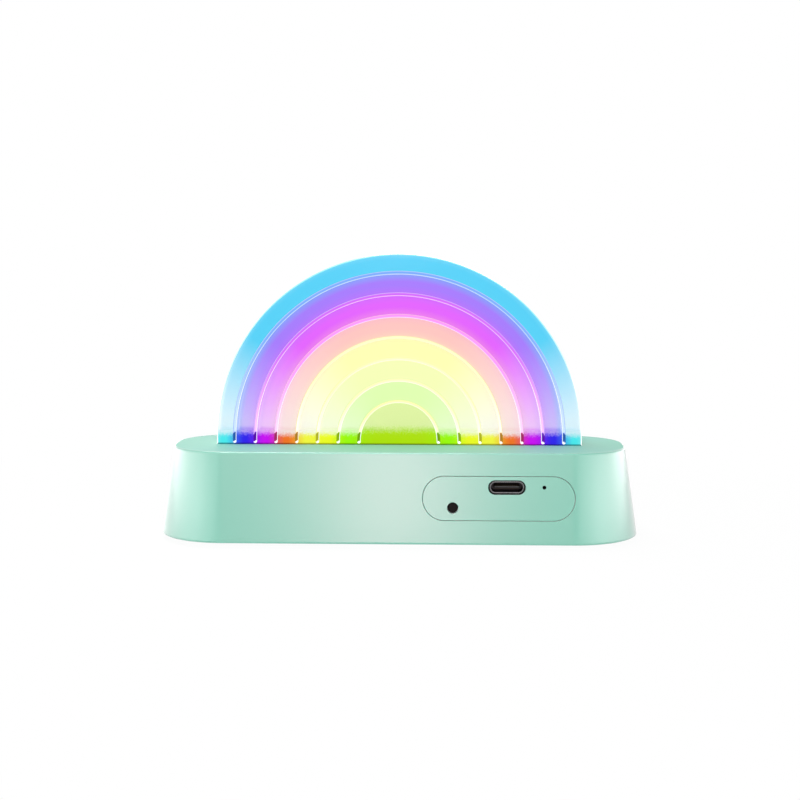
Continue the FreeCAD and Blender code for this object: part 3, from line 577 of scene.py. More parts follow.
def lit_acrylic(shape, finish):
    """Polished cast acrylic, lit through its foot: strong colour by the lamps, pale and clearer up the sides.

    The grain of scattered light at the foot is about 0.4 mm across.
    """
    material, tree = new_material("lit_acrylic")
    place, radius, height, climb = arch_places(tree, shape)
    bleeds = [(band.outer_bleed, band.inner_bleed) for band in finish.bands]
    side = [blend(light, WHITE, band.side_haze) for light, band in zip(mixed_lights(finish), finish.bands)]
    crown = crown_colours(finish)
    crown_ramp = band_ramp(tree, shape, radius, crown, bleeds)
    side_ramp = band_ramp(tree, shape, radius, side, bleeds, crown)
    foot_ramp = band_ramp(tree, shape, radius, [tuple(band.light) for band in finish.bands],
                          [(FOOT_BLEED, FOOT_BLEED)] * len(finish.bands))
    reaches = [(band.reach / (REACH_UNIT * MM),) * 3 for band in finish.bands]
    reach_ramp = band_ramp(tree, shape, radius, reaches)
    top_ramp = band_ramp(tree, shape, radius, [(band.haze_top,) * 3 for band in finish.bands])
    rise = add_node(tree, "MapRange", {"Value": climb, "From Min": 0.12, "From Max": top_ramp})
    upper = add_node(tree, "Mix", {0: rise, 6: side_ramp, 7: crown_ramp}, data_type="RGBA")
    speckle = add_node(tree, "TexNoise", {
        "Vector": place.outputs["Object"], "Scale": 1 / (SPECKLE_SIZE * MM), "Detail": 2.0})
    up = add_node(tree, "Math", {0: height, 1: REACH_UNIT}, operation="DIVIDE")
    reached = add_node(tree, "Math", {0: up, 1: reach_ramp}, operation="DIVIDE")
    ragged = add_node(tree, "Math", {0: speckle, 1: SPECKLE_SHARE, 2: reached}, operation="MULTIPLY_ADD")
    foot = add_node(tree, "MapRange", {
        "Value": ragged, "From Min": FOOT_GONE, "From Max": FOOT_FULL}, interpolation_type="SMOOTHSTEP")
    lit = add_node(tree, "Mix", {0: foot, 6: upper, 7: foot_ramp}, data_type="RGBA")
    # Painted shade: the colour darkens over the lowest half millimetre, where the plate enters the base
    shade = add_node(tree, "MapRange", {
        "Value": height, "From Min": 0.15, "From Max": 0.5, "To Min": 0.3, "To Max": 1.0})
    colour = add_node(tree, "VectorMath", {0: lit, "Scale": shade}, operation="SCALE")
    cover = add_node(tree, "MapRange", {"Value": rise, "To Min": 0.55, "To Max": 0.9})
    low = add_node(tree, "MapRange", {"Value": height, "From Min": 5.5, "From Max": 3.5})
    solid = add_node(tree, "Math", {0: cover, 1: low}, operation="MAXIMUM")
    glowing(tree, colour, finish, Roughness=0.12, Alpha=solid)
    return material


def cut_acrylic(shape, finish):
    """The milled ground of the slots: frosted, so the light leaves there, with painted shade low down and a
    painted white highlight at the rounded ends.
    """
    material, tree = new_material("cut_acrylic")
    place, radius, height, climb = arch_places(tree, shape)
    pale = [blend(colour, BLACK, 0.03) for colour in beside_slots(crown_colours(finish))]
    lights = beside_slots([tuple(band.light) for band in finish.bands])
    # Dark tones of the lights beside each slot, for the painted shade low in the slots
    dark = [blend(colour, BLACK, 0.38) for colour in lights]
    pale_ramp = band_ramp(tree, shape, radius, pale, shift=0.5)
    painted_shade_ramp = band_ramp(tree, shape, radius, dark, shift=0.5)
    white = add_node(tree, "MapRange", {
        "Value": climb, "From Min": 0.6, "From Max": 0.15, "To Max": 0.35})
    wall = add_node(tree, "Mix", {0: white, 6: pale_ramp, 7: opaque(WHITE)}, data_type="RGBA")
    # Painted shade: below a given height over the base the slot walls take those dark tones
    below = add_node(tree, "MapRange", {
        "Value": height, "From Min": PAINTED_SHADE_TOP + 0.1, "From Max": PAINTED_SHADE_TOP - 0.2})
    colour = add_node(tree, "Mix", {0: below, 6: wall, 7: painted_shade_ramp}, data_type="RGBA")
    # Painted highlight: the rounded ends of the slots turn white
    end = add_node(tree, "MapRange", {"Value": height, "From Min": 0.7, "From Max": 0.58})
    ended = add_node(tree, "Mix", {0: end, 6: colour, 7: opaque(WHITE)}, data_type="RGBA")
    streaks = add_node(tree, "TexNoise", {
        "Vector": place.outputs["Object"], "Scale": 1 / (STREAK_SIZE * MM), "Detail": 2.0})
    frost = add_node(tree, "MapRange", {"Value": streaks, "To Min": 0.4, "To Max": 0.6})
    glowing(tree, ended, finish, Roughness=frost, **{"Emission Strength": finish.slot_glow})
    return material


# How pale the polished edges' glow and painted highlight are, from the outside in: at the crown, and low on
# the sides
INNER_HAZE = (0.5, 0.5, 0.5, 0.0, 0.35, 0.5, 0.5, 0.5), (0.9, 0.9, 0.9, 0.45, 0.6, 0.85, 0.9, 0.9)
OUTER_HAZE = (0.45, 0.45, 0.4, 0.0, 0.0, 0.0, 0.0, 0.0), (0.45, 0.45, 0.45, 0.1, 0.1, 0.1, 0.1, 0.1)
EDGE_HAZE = (0.35,) * 8, (1.0,) * 8


def polished_rim(shape, finish, name, colours, shift, hazes, glow):
    """A polished acrylic edge, where the bands' light gathers to a line with a painted highlight, paler low
    on the sides.
    """
    material, tree = new_material(name)
    place, radius, height, climb = arch_places(tree, shape)
    crown_ramp, low_ramp = [
        band_ramp(tree, shape, radius,
                  [blend(colour, WHITE, share) for colour, share in zip(colours, shares)], shift=shift)
        for shares in hazes]
    low = add_node(tree, "MapRange", {"Value": climb, "From Min": 0.7, "From Max": 0.15})
    colour = add_node(tree, "Mix", {0: low, 6: crown_ramp, 7: low_ramp}, data_type="RGBA")
    ripple = add_node(tree, "TexNoise", {
        "Vector": place.outputs["Object"], "Scale": 1 / (RIPPLE_SIZE * MM), "Detail": 1.0})
    gloss = add_node(tree, "MapRange", {"Value": ripple, "To Min": 0.08, "To Max": 0.2})
    glowing(tree, colour, finish, Roughness=gloss, **{"Emission Strength": glow})
    return material


METAL = {"Metallic": 1.0}
VINYL = (0.35, 0.5), 0.5, 0.004, EVEN, {"IOR": 1.52}
# Finishes of one grain: two tones, gloss from and to, the grain's size and relief in millimetres, its
# stretch, and other values of the shader
GRAINS = {
    # Drawn stainless sheet with fine lines along the draw, its tone darkened as painted shade for the inside
    # of the port
    "shade_darkened_steel": ("#2C2C2E", "#454547", (0.36, 0.5), 0.2, 0.002, (1, 0.08, 1), METAL),
    # The same sheet at the port's rolled mouth, lighter than the shade-darkened steel: painted light where
    # the mouth catches it
    "rolled_lip": ("#505252", "#848686", (0.24, 0.34), 0.3, 0.001, EVEN, METAL),
    # Zinc-plated screw steel: grey and slightly cloudy
    "zinc_plate": ("#A4A7AC", "#CFD1D4", (0.25, 0.42), 0.6, 0.003, EVEN, METAL),
    # Glass-filled nylon: black and dull, with a mottle of fibres
    "glass_filled_nylon": ("#0B0B0C", "#171718", (0.34, 0.48), 0.3, 0.006, EVEN, {"IOR": 1.53}),
    # Gold flash on copper: warm and smooth, with faint plating waves, its tone darkened near to black as
    # painted shade inside the port
    "gilt": ("#2E2617", "#463A22", (0.36, 0.46), 0.4, 0.001, EVEN, METAL),
    # A drawn aluminium can: pale grey, with rings of drawing lines
    "drawn_aluminium": ("#B4B6B9", "#DCDDDF", (0.25, 0.4), 0.3, 0.002, (0.1, 1, 0.1), METAL),
    # Moulded rubber: nearly black and matt, with a dusty bloom in patches; the same black lines the panel's
    # bores round the sound hole and the port as painted shade
    "rubber_and_bore_shade": ("#161616", "#2C2C2C", (0.65, 0.85), 0.8, 0.01, EVEN, {"IOR": 1.52}),
    # Moulded silicone: milky and matt, with a skin texture
    "moulded_silicone": ("#C9CECA", "#DDE1DE", (0.5, 0.66), 0.7, 0.01, EVEN, {"IOR": 1.41}),
    # Natural white ABS: matt, so that it throws the lamps' light up
    "natural_abs": ("#E6E6E1", "#F2F2EE", (0.45, 0.58), 0.4, 0.005, EVEN, {"IOR": 1.54}),
    # White moulding resin of the lamps: glossy and slightly warm, with flow marks
    "lamp_resin": ("#EDEADB", "#FAF8EE", (0.2, 0.32), 0.6, 0.002, EVEN, {"IOR": 1.53}),
    # Transfer-moulded epoxy: charcoal, with the sparkle of its 0.15 mm filler, drawn coarser so that it shows
    "filled_epoxy": ("#1B1C1F", "#303238", (0.5, 0.7), 0.25, 0.006, EVEN, {"IOR": 1.55}),
    # Fired ceramic: brown and slightly glossy, of fine grains
    "fired_ceramic": ("#8A6B48", "#AE8F69", (0.3, 0.45), 0.3, 0.003, EVEN, {"IOR": 1.6}),
    # Unfilled nylon: ivory and waxy, with a moulding grain
    "ivory_nylon": ("#E3DECF", "#F1EEE3", (0.38, 0.5), 0.5, 0.004, EVEN, {"IOR": 1.53}),
    # Extruded vinyl of the wires: evenly coloured, with the extruder's fine rings
    "red_vinyl": ("#A81812", "#C4241C", *VINYL),
    "black_vinyl": ("#141414", "#242424", *VINYL),
    "white_vinyl": ("#DEDEDA", "#EEEEEA", *VINYL),
    # Aluminium laminate film of a pouch cell: silvery, with soft creases
    "laminate_film": ("#BFC2C6", "#DADCDF", (0.28, 0.46), 3.0, 0.06, EVEN, {"Metallic": 0.85}),
    # Closed-cell foam: off-white, pitted with cells
    "closed_cell_foam": ("#D2D1C9", "#EAE9E3", (0.75, 0.92), 0.4, 0.05, EVEN, {"IOR": 1.45}),
}


def plain_finish(name):
    """One of the finishes above, made when it is first asked for."""
    if name in bpy.data.materials:
        return bpy.data.materials[name]
    low, high, gloss, grain, depth, stretch, values = GRAINS[name]
    return grained(name, (linear(low), linear(high)), gloss, grain, depth, stretch, **values)


def moulded_acetal(finish):
    """Moulded acetal: a dark brown-black with a soft gloss, its grain about 0.25 mm."""
    brown = tuple(finish.button)
    return grained("moulded_acetal", (blend(brown, BLACK, 0.2), blend(brown, WHITE, 0.02)), (0.5, 0.62),
                   0.25, 0.004, **{"IOR": 1.48, "Specular IOR Level": 0.1})


# Width in millimetres of the board's glass threads
THREAD = 0.5


def board_laminate(name, low, high):
    """Glass-fibre board under solder mask: a faint plain weave of 0.5 mm threads below a gloss."""
    material, tree = new_material(name)
    place = add_node(tree, "TexCoord")
    threads = []
    for axis in ("X", "Z"):
        threads.append(add_node(tree, "TexWave", {
            "Vector": place.outputs["Object"], "Scale": math.pi / (10 * THREAD * MM), "Distortion": 0.4},
            wave_type="BANDS", bands_direction=axis))
    weave = add_node(tree, "Math", {0: threads[0].outputs["Fac"], 1: threads[1].outputs["Fac"]},
                     operation="MULTIPLY")
    tone = add_node(tree, "Mix", {
        0: weave, 6: opaque(linear(low)), 7: opaque(linear(high))}, data_type="RGBA")
    relief = add_node(tree, "Bump", {"Height": weave, "Strength": 0.3, "Distance": 0.01 * MM})
    shader = add_node(tree, "BsdfPrincipled", {
        "Base Color": tone, "Roughness": 0.3, "IOR": 1.55, "Normal": relief})
    add_node(tree, "OutputMaterial", {"Surface": shader})
    return material


def slope_y(shape, z):
    """Y of the sloping front face at a height."""
    return -(shape.top_depth / 2 + (BASE_TOP - z) * math.tan(shape.draft))


def ledge_y(shape):
    """Y of the seat that the panel lies on."""
    return -(shape.top_depth / 2 - shape.wall + shape.ledge_wall)


def corner_places(high, inset):
    """Four places, one in each corner of a box with the given high corner, at an inset from its sides."""
    x, y = high.x - inset, high.y - inset
    return [(sx * x, sy * y) for sx in (-1, 1) for sy in (-1, 1)]


def cover_screw_places():
    """Where the four screws of the bottom cover stand."""
    return corner_places(SCREWS_HIGH, SCREW_HEAD)


def foot_places():
    """Where the four soft feet sit."""
    return corner_places(FEET_HIGH, FOOT_RADIUS)


def lug_screw_places():
    """Where the three screws of the light frame go up into the ceiling."""
    y = LUG_SCREWS_HIGH.y - SCREW_HEAD
    return list(zip(LUG_X, (y, y, -y)))


def drafted_form(shape):
    """The outside of the base: drafted sides on round corners, a rounded bottom and a crisp top edge."""
    height = BASE_TOP - BASE_BOTTOM
    spread = height * math.tan(shape.draft)
    form = rounded_slab("base_shell", (0, 0, BASE_BOTTOM), shape.top_length + 2 * spread,
                        shape.top_depth + 2 * spread, shape.corner_radius + spread, None)
    edit(form)
    bpy.ops.mesh.select_mode(type="FACE")
    bpy.ops.mesh.inset(thickness=spread, depth=height)
    bpy.ops.mesh.select_mode(type="EDGE")
    bpy.ops.mesh.select_all(action="DESELECT")
    bpy.ops.mesh.select_non_manifold()
    bpy.ops.mesh.edge_face_add()
    close_edit()
    half_bottom = (math.pi / 2 - shape.draft) / 2
    shape_edges(form, lies_at(Z, BASE_BOTTOM), shape.bottom_round / math.tan(half_bottom), 12)
    half_top = (math.pi / 2 + shape.draft) / 2
    shape_edges(form, lies_at(Z, BASE_TOP), shape.top_round / math.tan(half_top), 5)
    return form


def on_front(shape, x, z, length, height):
    """A test for edges on the sloping front face that follow an oval outline."""
    radius = height / 2
    half = length / 2 - radius

    def follows(edge):
        for corner in edge.verts:
            if abs(corner.co.y - slope_y(shape, corner.co.z)) > NEAR:
                return False
            along = max(abs(corner.co.x - x) - half, 0)
            if abs(math.hypot(along, corner.co.z - z) - radius) > 2 * NEAR:
                return False
        return True
    return follows


def base_shell(shape):
    """The mint shell: open below, slotted on top, with a seat for the panel and posts inside."""
    shell = drafted_form(shape)
    inner = (shape.top_length - 2 * shape.wall, shape.top_depth - 2 * shape.wall)
    ceiling_under = BASE_TOP - shape.ceiling
    cavity = rounded_slab("cavity", (0, 0, BASE_BOTTOM - OVERCUT), *inner, shape.corner_radius - shape.wall,
                          (0, 0, ceiling_under - BASE_BOTTOM + OVERCUT))
    reach = PLATE_HIGH.z - BASE_TOP - shape.arch_rise + shape.plate_gap
    across = PLATE_HIGH.y + shape.plate_gap
    slot = block("slot", (-reach, -across, ceiling_under - OVERCUT), (reach, across, BASE_TOP + OVERCUT))
    x, z = PANEL_CENTRE.x, PANEL_CENTRE.z
    far = HOUSING_LOW.y - OVERCUT
    opening = oval_bar("opening", shape.panel_length, shape.panel_height, x, z, far, ledge_y(shape))
    through = oval_bar("through", shape.panel_length - 2 * shape.panel_ledge,
                       shape.panel_height - 2 * shape.panel_ledge, x, z, far,
                       -shape.top_depth / 2 + shape.wall + MM)
    combine(shell, [cavity, slot, opening, through], "DIFFERENCE")
    root = ceiling_under + shape.ceiling / 3
    posts = [post("post", shape.post_radius, px, py, COVER_HIGH.z, root) for px, py in cover_screw_places()]
    posts += [post("lug", shape.lug_radius, px, py, LUG_TOP, root) for px, py in lug_screw_places()]
    combine(shell, posts, "UNION")
    pilots = [post("pilot", shape.pilot_radius, px, py, COVER_HIGH.z - MM, SCREWS_HIGH.z + PILOT_SPARE)
              for px, py in cover_screw_places()]
    pilots += [post("pilot", shape.pilot_radius, px, py, LUG_TOP - MM, LUG_SCREWS_HIGH.z + PILOT_SPARE)
               for px, py in lug_screw_places()]
    combine(shell, pilots, "DIFFERENCE")
    shape_edges(shell, on_front(shape, x, z, shape.panel_length, shape.panel_height), shape.panel_edge, 3)

    def slot_rim(edge):
        inside = all(abs(v.co.x) < reach + NEAR and abs(v.co.y) < across + NEAR for v in edge.verts)
        return inside and lies_at(Z, BASE_TOP)(edge)
    shape_edges(shell, slot_rim, shape.panel_edge, 3)
    return tidy_mesh(shell)


# The panel's pegs for the main board, from its centre, and its spout for the sound
BOARD_POST_X, BOARD_POST_Z, BOARD_POST_RADIUS = 16.7 * MM, 2.05 * MM, 1.6 * MM
SPOUT_RADIUS, SPOUT_GAP = 1.2 * MM, 0.8 * MM


def board_post_places():
    """Where the panel's two pegs carry the main board."""
    x, z = PANEL_CENTRE.x, PANEL_CENTRE.z
    return [(x - BOARD_POST_X, z + BOARD_POST_Z), (x + BOARD_POST_X, z - BOARD_POST_Z)]


# The pegs' screw holes, and the panel's snap hooks: place along it in millimetres, above or below
BOARD_PILOT, BOARD_PILOT_DEPTH = 0.83 * MM, 3.6 * MM
PANEL_HOOKS = ((-6.2, 1), (8.2, 1), (-5.0, -1), (8.0, -1))


def snap_hook(shape, x, side):
    """One snap hook behind the panel: an arm with a barb whose tip is sloped."""
    half, arm, barb = 1.1 * MM, 0.9 * MM, 1.0 * MM
    edge = shape.panel_height / 2 - shape.panel_ledge - shape.panel_seam
    tip = edge + shape.panel_seam + 0.5 * MM
    grip = -shape.top_depth / 2 + shape.wall + 0.1 * MM
    z = PANEL_CENTRE.z

    def bar(name, y0, y1, top):
        low, high = sorted((z + side * (edge - arm), z + side * top))
        return block(name, (x - half, y0, low), (x + half, y1, high))
    hook = bar("hook", grip, grip + barb, tip)

    def tip_edge(part):
        return all(abs(v.co.y - grip - barb) < NEAR and abs(v.co.z - z - side * tip) < NEAR
                   for v in part.verts)
    shape_edges(hook, tip_edge, barb - 0.05 * MM, 1)
    return combine(hook, [bar("arm", ledge_y(shape) - 0.5 * MM, grip + barb / 4, edge)], "UNION")


def port_panel(shape):
    """The oval insert: flush with the sloping face, with softened edges at its seam and its holes."""
    x, z = PANEL_CENTRE.x, PANEL_CENTRE.z
    far = HOUSING_LOW.y - OVERCUT
    length = shape.panel_length - 2 * shape.panel_seam
    height = shape.panel_height - 2 * shape.panel_seam
    panel = oval_bar("oval_panel", length, height, x, z, far, ledge_y(shape))
    edit(panel)
    bpy.ops.mesh.bisect(plane_co=(0, slope_y(shape, z), z), use_fill=True, clear_outer=True,
                        plane_no=(0, -math.cos(shape.draft), math.sin(shape.draft)))
    bpy.ops.object.mode_set(mode="OBJECT")
    seat = ledge_y(shape)
    posts = [peg("board_post", BOARD_POST_RADIUS, px, pz, seat - MM, BOARD_LOW.y)
             for px, pz in board_post_places()]
    posts.append(peg("sound_spout", SPOUT_RADIUS, MIC_CENTRE.x, MIC_CENTRE.z, seat - MM,
                     MIC_LOW.y - SPOUT_GAP))
    hooks = [snap_hook(shape, x + dx * MM, side) for dx, side in PANEL_HOOKS]
    combine(panel, posts + hooks, "UNION")
    port = (PORT_HIGH.x - PORT_LOW.x + 2 * shape.port_gap_x, PORT_HIGH.z - PORT_LOW.z + 2 * shape.port_gap_z)
    button = shape.button_radius + shape.button_gap
    holes = [oval_bar("port_hole", *port, PORT_CENTRE.x, PORT_CENTRE.z, far, seat + MM),
             peg("button_hole", button, BUTTON_CENTRE.x, BUTTON_CENTRE.z, far, seat + MM),
             peg("sound_hole", shape.sound_radius, MIC_CENTRE.x, MIC_CENTRE.z, far, MIC_LOW.y)]
    holes += [peg("pilot", BOARD_PILOT, px, pz, BOARD_LOW.y - BOARD_PILOT_DEPTH, BOARD_LOW.y + MM)
              for px, pz in board_post_places()]
    combine(panel, holes, "DIFFERENCE")
    shape_edges(panel, on_front(shape, x, z, length, height), shape.panel_edge, 3)
    shape_edges(panel, on_front(shape, PORT_CENTRE.x, PORT_CENTRE.z, *port), shape.panel_edge, 3)
    shape_edges(panel, on_front(shape, BUTTON_CENTRE.x, BUTTON_CENTRE.z, 2 * button, 2 * button),
                shape.panel_edge, 3)
    return tidy_mesh(panel)


def arch_tool(shape, radius, rise, side):
    """The form of one slot in one face: half a turn over the top, two short legs and round ends."""
    centre = BASE_TOP + rise
    web, out = shape.slot_web / 2, PLATE_HIGH.y + OVERCUT
    depth = out - web
    deselect_all()
    bpy.ops.mesh.primitive_plane_add(size=1, location=(radius, side * (web + out) / 2, centre))
    tool = settle("slot_form", (shape.slot_width, depth, 1))
    edit(tool)
    bpy.ops.mesh.select_mode(type="FACE")
    bpy.ops.mesh.spin(steps=ARCH_STEPS, angle=math.pi, center=(0, 0, centre), axis=(0, 1, 0))
    bpy.ops.mesh.select_all(action="SELECT")
    bpy.ops.mesh.normals_make_consistent(inside=False)
    pick(tool, "FACE", lies_at(Z, centre))
    foot = BASE_TOP + shape.slot_foot
    bpy.ops.mesh.extrude_region_move(TRANSFORM_OT_translate={"value": (0, 0, foot - centre)})
    bpy.ops.object.mode_set(mode="OBJECT")

    def end_corner(edge):
        along = abs(edge.verts[0].co.y - edge.verts[1].co.y) > depth / 2
        return along and lies_at(Z, foot)(edge)
    shape_edges(tool, end_corner, shape.slot_width / 2 - NEAR, 6)
    edit(tool)
    close_edit()
    return tool


def rainbow_arch(shape):
    """The clear half-disc: a straight foot with ears, slots in both faces, polished edges."""
    centre = BASE_TOP + shape.arch_rise
    radius = PLATE_HIGH.z - centre
    half = PLATE_HIGH.y
    deselect_all()
    bpy.ops.mesh.primitive_cylinder_add(vertices=2 * ARCH_STEPS, radius=radius, depth=2 * half,
                                        location=(0, 0, centre), rotation=(math.pi / 2, 0, 0))
    plate = settle("rainbow_arch")
    edit(plate)
    bpy.ops.mesh.bisect(plane_co=(0, 0, centre), plane_no=(0, 0, 1), use_fill=True, clear_inner=True)
    pick(plate, "FACE", lies_at(Z, centre))
    bpy.ops.mesh.extrude_region_move(TRANSFORM_OT_translate={"value": (0, 0, PLATE_LOW.z - centre)})
    close_edit()
    ears = block("ears", PLATE_LOW, (PLATE_HIGH.x, half, PLATE_LOW.z + shape.ear_height))
    combine(plate, [ears], "UNION")
    combine(plate, [arch_tool(shape, *slot, side) for slot in slots(shape) for side in (-1, 1)], "DIFFERENCE")
    edit(plate)
    for place, normal in (((0, 0, centre), (1, 0, 0)), ((0, 0, BASE_TOP + shape.slot_foot / 2), (0, 0, 1))):
        bpy.ops.mesh.select_all(action="SELECT")
        bpy.ops.mesh.bisect(plane_co=place, plane_no=normal)
    bpy.ops.object.mode_set(mode="OBJECT")
    rim = radius - shape.plate_edge

    def front_or_back(edge):
        if any(abs(abs(v.co.y) - half) > NEAR or v.co.z < BASE_TOP - MM for v in edge.verts):
            return False
        return len(edge.link_faces) == 2 and edge.calc_face_angle(0) > SHARP_ANGLE

    def outer(edge):
        return front_or_back(edge) and all(
            math.hypot(v.co.x, max(v.co.z - centre, 0)) > rim for v in edge.verts)

    def inner(edge):
        return front_or_back(edge) and not outer(edge)
    shape_edges(plate, inner, shape.slot_edge, 2)
    shape_edges(plate, outer, shape.plate_edge, 3)
    tidy_mesh(plate)
    return plate


# Places of the plate's materials in its list
FACE, WALL, INNER_RIM, OUTER_RIM, EDGE = range(5)
# Height over the base, in millimetres, up to which the slots carry painted shade
PAINTED_SHADE_TOP = 3.1
# How far a face's normal points to the front or back: at least on a flat face, and at least on a rounded edge
FLAT_LEAN, EDGE_LEAN = 0.98, 0.05


def sort_plate_faces(plate, shape):
    """Give each face of the plate its place in the plate's list of materials."""
    centre = BASE_TOP + shape.arch_rise
    rim = PLATE_HIGH.z - centre - shape.plate_edge * 1.5
    slot_end = BASE_TOP + shape.slot_foot + shape.slot_width / 2
    for face in plate.data.polygons:
        outside = math.hypot(face.center.x, max(face.center.z - centre, 0)) > rim
        lean = abs(face.normal.y)
        deep = abs(face.center.y) < PLATE_HIGH.y / 2
        if face.center.z < BASE_TOP - MM or lean > FLAT_LEAN and not deep:
            face.material_index = FACE
        elif outside:
            face.material_index = EDGE
        elif lean > EDGE_LEAN and not deep:
            outwards = face.normal.x * face.center.x + face.normal.z * max(face.center.z - centre, 0)
            if outwards > 0 or face.center.z < slot_end:
                face.material_index = INNER_RIM
            else:
                face.material_index = OUTER_RIM if face.center.z > BASE_TOP + PAINTED_SHADE_TOP * MM else WALL
        else:
            face.material_index = WALL


def button_cap(shape):
    """The button: a stem with a rounded rim, on a wider flange."""
    seat = BUTTON_HIGH.y - shape.flange_thickness
    cap = peg("button_cap", shape.button_radius, BUTTON_CENTRE.x, BUTTON_CENTRE.z, BUTTON_LOW.y, seat)
    edit(cap)
    pick(cap, "FACE", lambda face: face.normal.y > 0.9)
    wider = (BUTTON_HIGH.x - BUTTON_LOW.x) / (2 * shape.button_radius)
    bpy.ops.mesh.extrude_region_move(TRANSFORM_OT_translate={"value": (0, 0, 0)})
    bpy.ops.transform.resize(value=(wider, 1, wider),
                             center_override=(BUTTON_CENTRE.x, seat, BUTTON_CENTRE.z))
    bpy.ops.mesh.extrude_region_move(TRANSFORM_OT_translate={"value": (0, shape.flange_thickness, 0)})
    bpy.ops.object.mode_set(mode="OBJECT")
    shape_edges(cap, lies_at(Y, BUTTON_LOW.y), shape.button_round, 6)
    return tidy_mesh(cap)


def port_shell(shape):
    """The steel tube of the charging port with a softened mouth."""
    length, height = PORT_HIGH.x - PORT_LOW.x, PORT_HIGH.z - PORT_LOW.z
    x, z = PORT_CENTRE.x, PORT_CENTRE.z
    shell = oval_bar("port_shell", length, height, x, z, PORT_LOW.y, PORT_HIGH.y)
    wall = 2 * shape.port_wall
    bore = oval_bar("port_bore", length - wall, height - wall, x, z, PORT_LOW.y - MM, PORT_HIGH.y + MM)
    combine(shell, [bore], "DIFFERENCE")
    shape_edges(shell, lies_at(Y, PORT_LOW.y), shape.port_wall / 4, 2)
    return tidy_mesh(shell)


def port_core(shape):
    """The black core of the port with its flat tongue."""
    x, z = PORT_CENTRE.x, PORT_CENTRE.z
    root = CORE_HIGH.y - shape.tongue_root
    core = oval_bar("port_core", CORE_HIGH.x - CORE_LOW.x, CORE_HIGH.z - CORE_LOW.z, x, z, root, CORE_HIGH.y)
    half_x, half_z = shape.tongue_length / 2, shape.tongue_thickness / 2
    tongue = block("tongue", (x - half_x, CORE_LOW.y, z - half_z), (x + half_x, root + MM, z + half_z))
    shape_edges(tongue, lies_at(Y, CORE_LOW.y), half_z * 0.9, 5)
    combine(core, [tongue], "UNION")
    return tidy_mesh(core)


def closing_plate(shape):
    """The plate under the base: sunk screw heads, pads for the posts and seats for the feet."""
    inside = COVER_LOW.z + COVER_SKIN
    size = (COVER_HIGH.x - COVER_LOW.x, COVER_HIGH.y - COVER_LOW.y)
    corner = shape.corner_radius - shape.wall - shape.panel_seam
    plate = rounded_slab("closing_plate", (0, 0, COVER_LOW.z), *size, corner, (0, 0, inside - COVER_LOW.z))
    pads = [post("pad", PAD_RADIUS, x, y, inside - MM, COVER_HIGH.z) for x, y in cover_screw_places()]
    combine(plate, pads, "UNION")
    low = COVER_LOW.z - OVERCUT
    holes = [post("hole", COVER_HOLE, x, y, low, COVER_HIGH.z + OVERCUT) for x, y in cover_screw_places()]
    holes += [post("sink", SINK_RADIUS, x, y, low, COVER_LOW.z + SINK_DEPTH) for x, y in cover_screw_places()]
    holes += [post("seat", SEAT_RADIUS, x, y, low, COVER_LOW.z + SEAT_DEPTH) for x, y in foot_places()]
    combine(plate, holes, "DIFFERENCE")
    return tidy_mesh(plate)


def copies(piece, name, places):
    """Copy a piece modelled at the first place to the others, and join them all under one name."""
    made = [piece]
    for x, y in places[1:]:
        hold(piece)
        bpy.ops.object.duplicate(linked=False)
        other = bpy.context.active_object
        other.location = (x - places[0][0], y - places[0][1], 0)
        bpy.ops.object.transform_apply(location=True, rotation=True, scale=True)
        made.append(other)
    hold(piece)
    for other in made:
        other.select_set(True)
    bpy.ops.object.join()
    piece.name = name
    piece.data.name = name
    return piece


def soft_feet():
    """Four soft feet with rounded soles."""
    places = foot_places()
    foot = post("foot", FOOT_RADIUS, *places[0], FEET_LOW.z, FEET_HIGH.z)
    shape_edges(foot, lies_at(Z, FEET_LOW.z), SOLE_ROUND, 3)
    shape_edges(foot, lies_at(Z, FEET_HIGH.z), FOOT_EDGE, 2)
    tidy_mesh(foot)
    return copies(foot, "soft_feet", places)


def cover_screw_set():
    """Four pan-head screws with a cross recess and a pointed end."""
    places = cover_screw_places()
    x, y = places[0]
    seat = SCREWS_LOW.z + HEAD_HEIGHT
    screw = post("screw", SCREW_HEAD, x, y, SCREWS_LOW.z, seat)
    shape_edges(screw, lies_at(Z, SCREWS_LOW.z), HEAD_ROUND, 6)
    shank = post("shank", SHANK_RADIUS, x, y, seat - SHANK_POINT, SCREWS_HIGH.z)
    shape_edges(shank, lies_at(Z, SCREWS_HIGH.z), SHANK_POINT, 1)
    combine(screw, [shank], "UNION")
    arm, half = RECESS_ARM, RECESS_HALF
    low, high = SCREWS_LOW.z - MM, SCREWS_LOW.z + RECESS_DEPTH
    bars = [block("bar", (x - arm, y - half, low), (x + arm, y + half, high)),
            block("bar", (x - half, y - arm, low), (x + half, y + arm, high))]
    combine(screw, bars, "DIFFERENCE")
    tidy_mesh(screw)
    return copies(screw, "cover_screw_set", places)


# Half the width and height of the part round the port where the panel's bore walls are painted black as shade
SHADE_BORE_X, SHADE_BORE_Z = 5.2 * MM, 2.2 * MM


class LAMP_OT_base_shell(bpy.types.Operator):
    """Model and finish the mint shell of the base"""
    bl_idname = "rainbow_lamp.base_shell"
    bl_label = "Base shell"

    def execute(self, context):
        scene = context.scene
        shell = base_shell(scene.lamp_shape)
        dress(shell, "lamp", "base_housing", "mint_abs", satin_mint_abs(scene.lamp_finish),
              matt_mint_abs(scene.lamp_finish))
        for face in shell.data.polygons:
            face.material_index = int(face.normal.z > 0.99 and face.center.z > BASE_TOP - NEAR)
        return {"FINISHED"}


